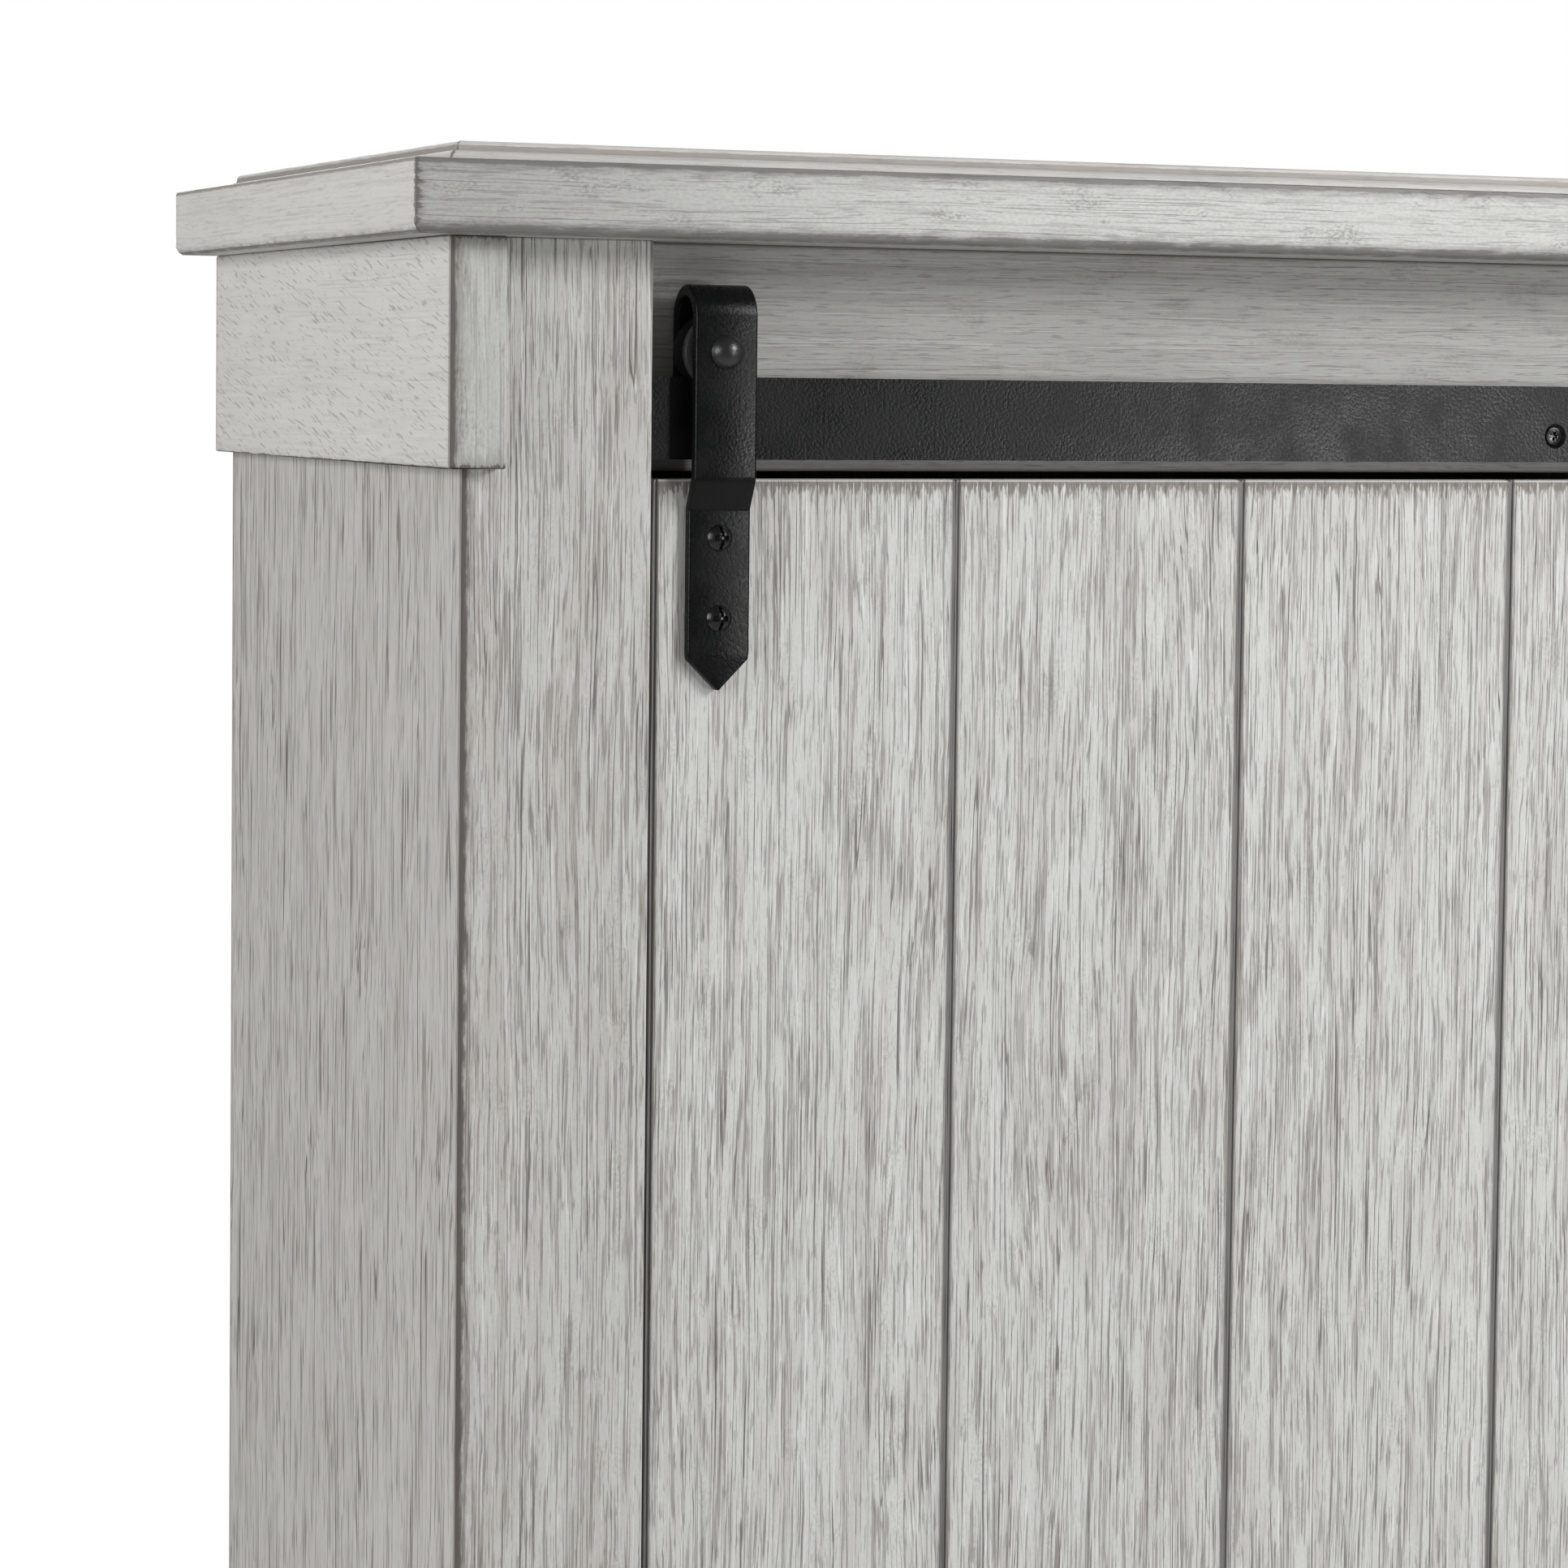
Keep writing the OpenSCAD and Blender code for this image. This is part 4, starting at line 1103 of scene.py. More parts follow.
@dataclass(frozen=True)
class MetalFinish:
    """Powder-coated or plain metal.

    Attributes:
        name: Name of the material.
        colour: Base colour.
        worn: Colour of rubbed spots.
        metallic: How metallic it is.
        rough: Roughness.
        gloss: Strength of the mirror-like part, as the shader's specular level.
        peel: Height of the coat's orange peel, in metres.
        grain: Peel bumps per metre.
        marks: Strength of faint rubbed marks.
    """

    name: str
    colour: Colour = (0.0032, 0.0036, 0.0036)
    worn: Colour = (0.011, 0.011, 0.011)
    metallic: float = 0.0
    rough: float = 0.31
    gloss: float = 0.14
    peel: float = 0.00014
    grain: float = 620.0
    marks: float = 0.2

    def build(self) -> bpy.types.Material:
        """Builds the material.

        Fine noise gives the coat's pebbled surface and a little of its roughness,
        broad noise varies roughness and tone, and high spots of a third noise, set
        off by the fine one, make faint rub marks.

        Returns:
            The material.
        """
        n = Nodes(self.name)
        place = n.add("ShaderNodeTexCoord").outputs["Object"]
        peel = n.noise(place, (self.grain,) * 3, 2.0, 0.5)
        cloud = n.noise(place, (34, 34, 34), 3.0, 0.6)
        uneven = n.vector("ADD", place, n.vector("MULTIPLY", peel, (0.8 * MM,) * 3))
        rub = n.noise(uneven, (60, 60, 210), 3.0, 0.6)
        mark = n.maths("MULTIPLY", n.ramp(rub, 0.6, 0.74), self.marks)
        colour = n.mix(n.ramp(cloud, 0.35, 0.7, (0.0, 0.35)), self.colour, self.worn)
        n.put(n.shader.inputs["Base Color"], n.mix(mark, colour, self.worn))
        pebble = n.ramp(peel, 0.35, 0.65, (-0.03, 0.03))
        broad = n.ramp(cloud, 0.3, 0.7, (self.rough - 0.04, self.rough + 0.05))
        n.put(n.shader.inputs["Roughness"], n.maths("ADD", pebble, broad))
        n.shader.inputs["Metallic"].default_value = self.metallic
        n.shader.inputs["Specular IOR Level"].default_value = self.gloss
        n.bump(peel, self.peel)
        return n.material


@dataclass(frozen=True)
class Finishes:
    """All finishes of the wardrobe, built once."""

    front: bpy.types.Material
    door: bpy.types.Material
    side: bpy.types.Material
    cap: bpy.types.Material
    block: bpy.types.Material
    top: bpy.types.Material
    top_side: bpy.types.Material
    frieze: bpy.types.Material
    shelf: bpy.types.Material
    inner: dict[Axis, bpy.types.Material]
    iron: bpy.types.Material
    screw: bpy.types.Material
    bolt: bpy.types.Material
    roller: bpy.types.Material
    steel: bpy.types.Material
    rubber: bpy.types.Material
    plastic: bpy.types.Material

    @staticmethod
    def mixed() -> "Finishes":
        """Mixes every finish of the set."""
        dark_glaze = (0.085, 0.074, 0.067)
        inner = WoodFinish(
            "inner_wood", streaks=0.35, hairs=0.2, lines=0.3, pores=0.2, ridge_highlights=0.2, zones=0.3, relief=0.00012
        )
        return Finishes(
            front=WoodFinish(
                "brushed_front", pale=(0.50, 0.50, 0.478), highlight_tint=(0.66, 0.66, 0.645), glaze=dark_glaze,
                zones=0.45, end_rim=0.001, rim=0.0026, rim_share=0.95, haze=0.6, haze_reach=3.6,
            ).build(),
            door=WoodFinish(
                "brushed_door", share=0.008, swing=0.006, rim=0.0005, rim_share=0.5, haze=0.25, end_rim=0.006,
                end_rub_highlight=0.0014,
            ).build(),
            side=WoodFinish(
                "side_veneer", pale=(0.50, 0.488, 0.466), shade=(0.40, 0.38, 0.355),
                streak=(0.20, 0.183, 0.168), pore=(0.14, 0.127, 0.117), streaks=0.4, share=-0.03,
                hairs=0.8, lines=1.0, pores=0.35, ridge_highlights=0.0, mottle=0.1, zones=0.3, hair_pitch=260.0,
                line_pitch=62.0, reach=3.5, swing=0.014, relief=0.00012, rim=0.0007, end_rim=0.0005,
            ).build(),
            cap=WoodFinish(
                "cap_veneer", pale=(0.59, 0.582, 0.56), shade=(0.54, 0.53, 0.51), streak=(0.36, 0.345, 0.325),
                streaks=0.15, hairs=0.15, lines=0.15, pores=0.36, ridge_highlights=0.15, mottle=0.12, pitch=420.0,
                line_pitch=120.0, pore_pitch=760.0, pore_length=75.0, slant=0.25, swing=0.004, relief=0.00018,
                rim=0.0006, end_rim=0.0006,
            ).build(),
            block=WoodFinish(
                "block_wood", pale=(0.45, 0.46, 0.435), shade=(0.40, 0.40, 0.375), glaze=dark_glaze,
                streaks=0.3, hairs=0.2, lines=0.2, pores=0.25, ridge_highlights=0.15, mottle=0.45, swing=0.003,
                relief=0.00018, rim=0.0022, rim_share=0.9, haze=0.55, haze_reach=5.0, end_rim=0.0015,
            ).build(),
            top=WoodFinish(
                "top_wood", pale=(0.54, 0.54, 0.525), shade=(0.45, 0.44, 0.425), highlight_tint=(0.62, 0.62, 0.61),
                streak=(0.15, 0.144, 0.138), glaze=(0.11, 0.101, 0.094), streaks=0.25, share=-0.02,
                hairs=0.25, lines=0.45, pores=0.3, ridge_highlights=0.2, mottle=0.5, zones=0.2, swing=0.003,
                relief=0.00016, rim=0.0013, rim_share=0.7, haze=0.5, haze_reach=4.5, end_rim=0.0028,
                end_haze=0.4, end_reach=0.3,
            ).build(),
            # Lighter finish of the moulded board; on the slab's left and right faces its lightness is painted
            # light.
            top_side=WoodFinish(
                "top_side_wood", pale=(0.60, 0.59, 0.565), shade=(0.55, 0.535, 0.51), streaks=0.12,
                share=-0.02, hairs=0.15, lines=0.15, pores=0.15, ridge_highlights=0.1, mottle=0.12, relief=0.0001,
                rim=0.0006, haze=0.1, end_rim=0.0008,
            ).build(),
            # Frieze rail: the board paint made much darker, as painted shade for the shadow that the
            # overhanging slab casts on it.
            frieze=WoodFinish(
                "frieze_wood", pale=(0.375, 0.373, 0.36), shade=(0.295, 0.287, 0.275), streaks=0.22,
                hairs=0.25, lines=0.35, pores=0.35, ridge_highlights=0.15, swing=0.003, relief=0.0002, rim=0.0005,
            ).build(),
            shelf=WoodFinish(
                "shelf_wood", streaks=0.3, hairs=0.2, lines=0.3, pores=0.2, ridge_highlights=0.2, relief=0.00012
            ).build(),
            inner={axis: inner.build(axis) for axis in Axis},
            iron=MetalFinish("black_powder_coat").build(),
            screw=MetalFinish(
                "black_screw", colour=(0.004,) * 3, rough=0.24, gloss=0.35, peel=0.00002
            ).build(),
            bolt=MetalFinish("bolt_black", colour=(0.012,) * 3, rough=0.36, gloss=0.5, peel=0.00015).build(),
            roller=MetalFinish("roller_black", colour=(0.03,) * 3, rough=0.38, peel=0.00001).build(),
            steel=MetalFinish(
                "brushed_steel", colour=(0.55, 0.55, 0.56), worn=(0.45, 0.45, 0.46), metallic=1.0, rough=0.32,
                peel=0.00001, marks=0.2,
            ).build(),
            rubber=MetalFinish("soft_black", colour=(0.016,) * 3, rough=0.7, peel=0.00002).build(),
            plastic=MetalFinish("guide_plastic", colour=(0.03,) * 3, rough=0.5, peel=0.00002).build(),
        )


# ---- Sub-assemblies ----


def node_box(node: str) -> tuple[Array, Array]:
    """Lowest and highest corner of a CAD node."""
    low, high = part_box(node)
    return np.array(low), np.array(high)


def half_round(radius: float) -> Array:
    """Half of a quarter-circle arris at the origin, from its middle to the second axis' face.

    Points of a circle about (radius, radius), from the diagonal to the bottom.
    """
    turn = np.linspace(math.pi / 4, math.pi / 2, ARC_STEPS)
    return radius * (1 - np.stack([np.cos(turn), np.sin(turn)], 1))


def plain_section(wide: float, deep: float, ease: float, step: float, relief: bool, face: int = 0) -> Section:
    """Rectangle with eased corners, one of whose faces may carry brushed grain.

    Args:
        wide: Size along the first coordinate.
        deep: Size along the second.
        ease: Radius of the corners.
        step: Spacing of points on the faces.
        relief: Whether the chosen face has brushed grain.
        face: Index of that face, from the bottom anticlockwise.

    Returns:
        The section.
    """
    at = [(0, 0), (wide, 0), (wide, deep), (0, deep)]
    return Section.of(
        [
            Corner(x, y, ease, step if k == face else 3 * step, relief=relief and k == face)
            for k, (x, y) in enumerate(at)
        ]
    )


def front_section(wide: float, deep: float, behind: float, arris: float, ease: float, step: float) -> Section:
    """Outline of the front board of a corner.

    It starts in the middle of the outer arris, runs over the brushed face and round
    the board, and ends where the board behind starts, so that the last edge is the
    mitre between them.

    Args:
        wide: Width of the front board.
        deep: Its depth.
        behind: Thickness of the board behind.
        arris: Radius of the outer arris, which both boards share.
        ease: Radius of the inner arris.
        step: Spacing of points on the face.

    Returns:
        The section.
    """
    arc = half_round(arris)
    corners = [Corner(*p) for p in arc[:-1]]
    corners += [
        Corner(*arc[-1], step=step, relief=True),
        Corner(wide, 0, ease, 2 * step, worn=False),
        Corner(wide, deep, worn=False),
        Corner(behind, deep, worn=False),
    ]
    return Section.of(corners)


def flank_section(thick: float, start: float, deep: float, arris: float, ease: float, step: float) -> Section:
    """Outline of the side board of a corner, mitred against the front one.

    Args:
        thick: Thickness of the side board.
        start: Depth of the front board.
        deep: Depth at which the side board ends.
        arris: Radius of the outer arris, which both boards share.
        ease: Radius of the rear arris.
        step: Spacing of points on the face.

    Returns:
        The section.
    """
    corners = [
        Corner(thick, start, worn=False),
        Corner(thick, deep, worn=False),
        Corner(0, deep, ease, step=3 * step),
    ]
    corners += [Corner(*p) for p in half_round(arris)[:, ::-1][::-1]]
    return Section.of(corners)


class Side(Enum):
    """Left or right side of the case, as a sign along X."""

    LEFT = 1
    RIGHT = -1

    @property
    def word(self) -> str:
        """Word that starts the names on this side."""
        return self.name.lower()

    def outer_corner(self, node: str) -> Array:
        """Lowest front corner of a CAD node, at the outer side of the case."""
        low, high = node_box(node)
        return np.array([low[0] if self is Side.LEFT else high[0], low[1], low[2]])


@dataclass
class CaseFront:
    """Stiles, side panels, frieze rail and bottom rail.

    Attributes:
        finishes: Finishes to dress the pieces in.
        arris: Radius of the outer arris that a stile and a side panel share.
        ease: Radius of the other arrises.
        column: Spacing of points across a brushed face.
        brush: Depth of the brushed grain on the stiles.
        rail_brush: Depth of the brushed grain on the rails.
    """

    finishes: Finishes
    arris: float = 1.1 * MM
    ease: float = 0.9 * MM
    column: float = 1.4 * MM
    brush: float = 0.15 * MM
    rail_brush: float = 0.12 * MM

    def build(self) -> None:
        """Builds both stiles, both side panels and the two rails."""
        for side in Side:
            self.stile(side)
            self.side_panel(side)
        # The frieze rail gets the darker finish, painted shade from the slab above it.
        self.rail("frieze_rail", self.finishes.frieze, seed=61)
        self.rail("bottom_rail", self.finishes.front, seed=62)

    def stile(self, side: Side) -> None:
        """Builds a stile: brushed front, shared outer arris and a mitre behind it."""
        node = f"{side.word}_stile"
        low, high = node_box(node)
        wide, deep, tall = high - low
        panel_low, panel_high = node_box(f"{side.word}_side_panel")
        panel = float(panel_high[0] - panel_low[0])
        section = front_section(wide, deep, panel, self.arris, self.ease, self.column)
        board = Board(
            section, side.outer_corner(node), RIGHT * side.value, BACK, UP, tall,
            seed=11 + side.value, depth=self.brush, worn_ends=(True, False),
        )
        board.skin().piece(f"{node}_board", "case", "front_boards", self.finishes.front, node)

    def side_panel(self, side: Side) -> None:
        """Builds a side panel: smooth veneer, meeting the stile in a mitre."""
        node = f"{side.word}_side_panel"
        low, high = node_box(node)
        thick, deep, tall = high - low
        stile_low, stile_high = node_box(f"{side.word}_stile")
        stile = float(stile_high[1] - stile_low[1])
        section = flank_section(thick, stile, deep, self.arris, self.ease, self.column)
        board = Board(
            section, side.outer_corner(node), RIGHT * side.value, BACK, UP, tall,
            seed=21 + side.value, step=20 * MM, worn_ends=(True, False),
        )
        board.skin().piece(f"{node}_board", "case", "side_boards", self.finishes.side, node)

    def rail(self, node: str, dress: bpy.types.Material, seed: int) -> None:
        """Builds a rail along X with a brushed front."""
        low, high = node_box(node)
        size = high - low
        section = plain_section(size[1], size[2], self.ease, self.column, True, face=3)
        board = Board(
            section, low, BACK, UP, RIGHT, size[0],
            seed=seed, depth=self.rail_brush, worn_ends=(False, False),
        )
        board.skin().piece(f"{node}_board", "case", "front_boards", dress, node)


@dataclass
class CornerCaps:
    """Blocks and boards that wrap the upper corners.

    Attributes:
        finishes: Finishes to dress the pieces in.
        arris: Radius of the arris that a block and a board share.
        ease: Radius of the other arrises.
        column: Spacing of points across the visible faces.
        brush: Depth of the grain in the block.
    """

    finishes: Finishes
    arris: float = 1.2 * MM
    ease: float = 1.3 * MM
    column: float = 1.6 * MM
    brush: float = 0.08 * MM

    def build(self) -> None:
        """Builds a block and a board on each side."""
        for side in Side:
            self.wrap(side)

    def wrap(self, side: Side) -> None:
        """Builds the block and the board of one side."""
        block, board = f"{side.word}_cap_block", f"{side.word}_cap_board"
        low, high = node_box(block)
        board_low, board_high = node_box(board)
        wide, front, tall = high - low
        thick = float(board_high[0] - board_low[0])
        deep = float(board_high[1] - board_low[1])
        directions = (side.outer_corner(block), RIGHT * side.value, BACK, UP, tall)
        section = front_section(wide, front, thick, self.arris, self.ease, self.column)
        Board(
            section, *directions, seed=31 + side.value, depth=self.brush, ease=self.ease,
        ).skin().piece(f"{block}_wood", "case", "front_boards", self.finishes.block, block)
        section = flank_section(thick, front, deep, self.arris, self.ease, self.column)
        Board(
            section, *directions, seed=41 + side.value, ease=self.ease, step=5 * MM, crossed=True,
            worn_ends=(True, False),
        ).skin().piece(f"{board}_wood", "case", "side_boards", self.finishes.cap, board)


@dataclass
class Top:
    """Overhanging slab and the moulded board on it.

    Attributes:
        finishes: Finishes to dress the pieces in.
        slab_foot: Chamfer along the slab's lower edge.
        slab_brow: Chamfer along its upper edge.
        corner: Radius of the slab's front corners.
        base: Height of the moulding's fillet.
        quarter: Radius of its quarter round.
        step: Width of the step above the quarter round.
        crown: Radius of the upper corner.
        column: Spacing of points up a face.
        brush: Depth of the grain.
    """

    finishes: Finishes
    slab_foot: float = 4 * MM
    slab_brow: float = 1.5 * MM
    corner: float = 1.6 * MM
    base: float = 1.5 * MM
    quarter: float = 4.5 * MM
    step: float = 0.6 * MM
    crown: float = 2.5 * MM
    column: float = 1.5 * MM
    brush: float = 0.12 * MM

    def build(self) -> None:
        """Builds the slab and the moulded board."""
        self.slab()
        self.moulded_board()

    def slab(self) -> None:
        """Builds the slab: a chamfer, a flat face and a small upper chamfer."""
        low, high = node_box("top_slab")
        tall = float(high[2] - low[2])
        back = np.array([60, 30, 12, 5, 2]) * MM
        face = np.linspace(self.slab_foot, tall - self.slab_brow, round(tall / self.column))
        edge = np.concatenate(
            [
                np.stack([self.slab_foot + back, 0 * back], 1),
                [[self.slab_foot, 0], [self.slab_foot / 2.3, self.slab_foot / 2.3 - 0.4 * MM]],
                np.stack([0 * face, face], 1),
                [[self.slab_brow * 0.3, tall - self.slab_brow * 0.3], [self.slab_brow, tall]],
                np.stack([self.slab_brow + back[::-1], 0 * back + tall], 1),
            ]
        )
        # The foot of the face and the lower chamfer count as worn, so the glaze darkens them: partly glaze,
        # partly painted shade for the shadow line under the slab.
        face_wear_and_shade = np.minimum(face - face[0] + 1 * MM, face[-1] - face)
        wear = np.concatenate([back, [1.2 * MM, 0.4 * MM], face_wear_and_shade, [0, 2 * MM], back[::-1]])
        skin = tray(low, high, edge, wear, self.corner, 71, self.brush)
        board = skin.piece("top_slab_board", "case", "top_boards", self.finishes.top, "top_slab")
        self.dress_lit_sides(board.data)

    def dress_lit_sides(self, mesh: bpy.types.Mesh) -> None:
        """Gives the faces that look left or right a lighter finish, painted light for the brighter light that
        falls on the slab's sides.
        """
        mesh.materials.append(self.finishes.top_side)
        normals = np.empty(len(mesh.polygons) * 3, np.float32)
        mesh.polygons.foreach_get("normal", normals)
        beside = np.abs(normals.reshape(-1, 3)[:, 0]) > math.sin(math.pi / 4)
        mesh.polygons.foreach_set("material_index", beside.astype(np.int32))

    def moulded_board(self) -> None:
        """Builds the moulded board: fillet, quarter round, step and crown."""
        low, high = node_box("top_board")
        tall = float(high[2] - low[2])
        turn = np.linspace(0, math.pi / 2, 9)
        bulge = np.stack([1 - np.cos(turn), np.sin(turn)], 1)
        inner = self.quarter + self.step
        back = np.array([2, 5, 12, 30, 80]) * MM
        edge = np.concatenate(
            [
                np.stack([back[::-1], 0 * back], 1),
                [[0, 0]],
                [0, self.base] + self.quarter * bulge,
                [inner, tall - self.crown] + self.crown * bulge,
                np.stack([inner + self.crown + back, 0 * back + tall], 1),
            ]
        )
        rise = np.linspace(0, 4 * MM, len(turn))
        wear = np.concatenate([back[::-1], [2 * MM], rise[::-1], rise, 4 * MM + back])
        skin = tray(low, high, edge, wear, 0.6 * MM, 72, self.brush / 3)
        skin.piece("top_board_moulded", "case", "top_boards", self.finishes.top_side, "top_board")


@dataclass
class Interior:
    """Shelves, and the CAD pieces inside the case that keep their shape.

    Attributes:
        finishes: Finishes to dress the pieces in.
        ease: Radius of the shelves' arrises.
        wooden: CAD nodes of wood, with the direction of their grain.
    """

    finishes: Finishes
    ease: float = 1.2 * MM
    wooden: dict[str, Axis] = field(
        default_factory=lambda: {
            "centre_partition": Axis.Z,
            "bottom_board": Axis.X,
            "back_panel": Axis.Z,
            "back_top_rail": Axis.X,
            "back_bottom_rail": Axis.X,
            "foot_blocks": Axis.Z,
            "glue_blocks": Axis.Y,
            "hat_shelf_cleats": Axis.Y,
            "top_ledge": Axis.X,
            "middle_ledge": Axis.X,
            "bottom_ledge": Axis.X,
        }
    )

    def build(self) -> None:
        """Builds the shelves and dresses what stays as it is."""
        for k, node in enumerate(["hat_shelf", "shelf_1", "shelf_2", "shelf_3", "shelf_4"]):
            self.shelf(node, 81 + k)
        for node, axis in self.wooden.items():
            dress_node(node, self.finishes.inner[axis])
        for node in ("hanging_rod", "shelf_pins"):
            dress_node(node, self.finishes.steel)
        for node in ("rod_sockets", "rod_socket_screws", "ledge_screws"):
            dress_node(node, self.finishes.screw)

    def shelf(self, node: str, seed: int) -> None:
        """Builds a shelf with an eased front edge; its grain runs along X."""
        low, high = node_box(node)
        size = high - low
        section = plain_section(size[1], size[2], self.ease, 5 * MM, False, face=3)
        board = Board(
            section, low, BACK, UP, RIGHT, size[0],
            seed=seed, step=30 * MM, worn_ends=(False, False),
        )
        board.skin().piece(f"{node}_board", "case", "inner_boards", self.finishes.shelf, node)


def dress_node(node: str, dress: bpy.types.Material) -> None:
    """Gives a CAD node that stays a better material."""
    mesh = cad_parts[node].data
    mesh.materials.clear()
    mesh.materials.append(dress)
    log.info("%s: dressed in %s", node, dress.name)


@dataclass
class Door:
    """Planks of the door.

    Attributes:
        finishes: Finishes to dress the pieces in.
        count: Number of planks.
        groove_half: Half width of the groove at a joint.
        groove_deep: Depth of that groove.
        tongue: Half thickness of the tongue.
        tongue_long: Length of the tongue.
        play: Clearance round the tongue.
        guide_half: Half width of the slot for the floor guide.
        guide_deep: Depth of that slot.
        column: Spacing of points across the face.
        brush: Depth of the brushed grain.
        end_ease: Radius of the plank ends.
    """

    finishes: Finishes
    count: int = 4
    groove_half: float = 1.9 * MM
    groove_deep: float = 1.2 * MM
    tongue: float = 3 * MM
    tongue_long: float = 6 * MM
    play: float = 0.2 * MM
    guide_half: float = 3.5 * MM
    guide_deep: float = 12 * MM
    column: float = 1.4 * MM
    brush: float = 0.15 * MM
    end_ease: float = 1.5 * MM

    def build(self) -> None:
        """Builds every plank."""
        for k in range(self.count):
            self.plank(k)

    def plank(self, k: int) -> None:
        """Builds a plank: brushed face, groove, tongue, slot and floor guide slot."""
        node = f"door_plank_{k + 1}"
        low, high = node_box(node)
        last = k == self.count - 1
        wide = float(high[0] - low[0]) - (0 if last else self.tongue_long)
        thick, tall = float(high[1] - low[1]), float(high[2] - low[2])
        mid = thick / 2
        t, slot = self.tongue, self.tongue + self.play
        reach, deep = self.tongue_long, self.tongue_long + self.play
        g = self.guide_half
        corners = [
            Corner(0, self.groove_deep, seam=True),
            Corner(self.groove_half - self.groove_deep / 4, self.groove_deep),
            Corner(self.groove_half, 0, 0.45 * MM, self.column, relief=True),
            Corner(wide - self.groove_half, 0, 0.45 * MM),
            Corner(wide - self.groove_half + self.groove_deep / 4, self.groove_deep, seam=True),
            Corner(wide, self.groove_deep),
            Corner(wide, mid - g),
        ]
        if not last:
            corners += [Corner(wide, mid - t), Corner(wide + reach, mid - t, 0.5 * MM)]
            corners += [Corner(wide + reach, mid + t, 0.5 * MM), Corner(wide, mid + t)]
        corners += [Corner(wide, mid + g), Corner(wide, thick, step=20 * MM)]
        corners += [Corner(0, thick), Corner(0, mid + g)]
        if k:
            slot_at = [(0, mid + slot), (deep, mid + slot), (deep, mid - slot), (0, mid - slot)]
            corners += [Corner(*p) for p in slot_at]
        corners.append(Corner(0, mid - g))
        board = Board(
            Section.of(corners), low, RIGHT, BACK, UP, tall,
            seed=101 + 7 * k, depth=self.brush, ease=self.end_ease, guide=(mid - g, mid + g, self.guide_deep),
        )
        board.skin().piece(f"{node}_board", "door", "door_boards", self.finishes.door, node)


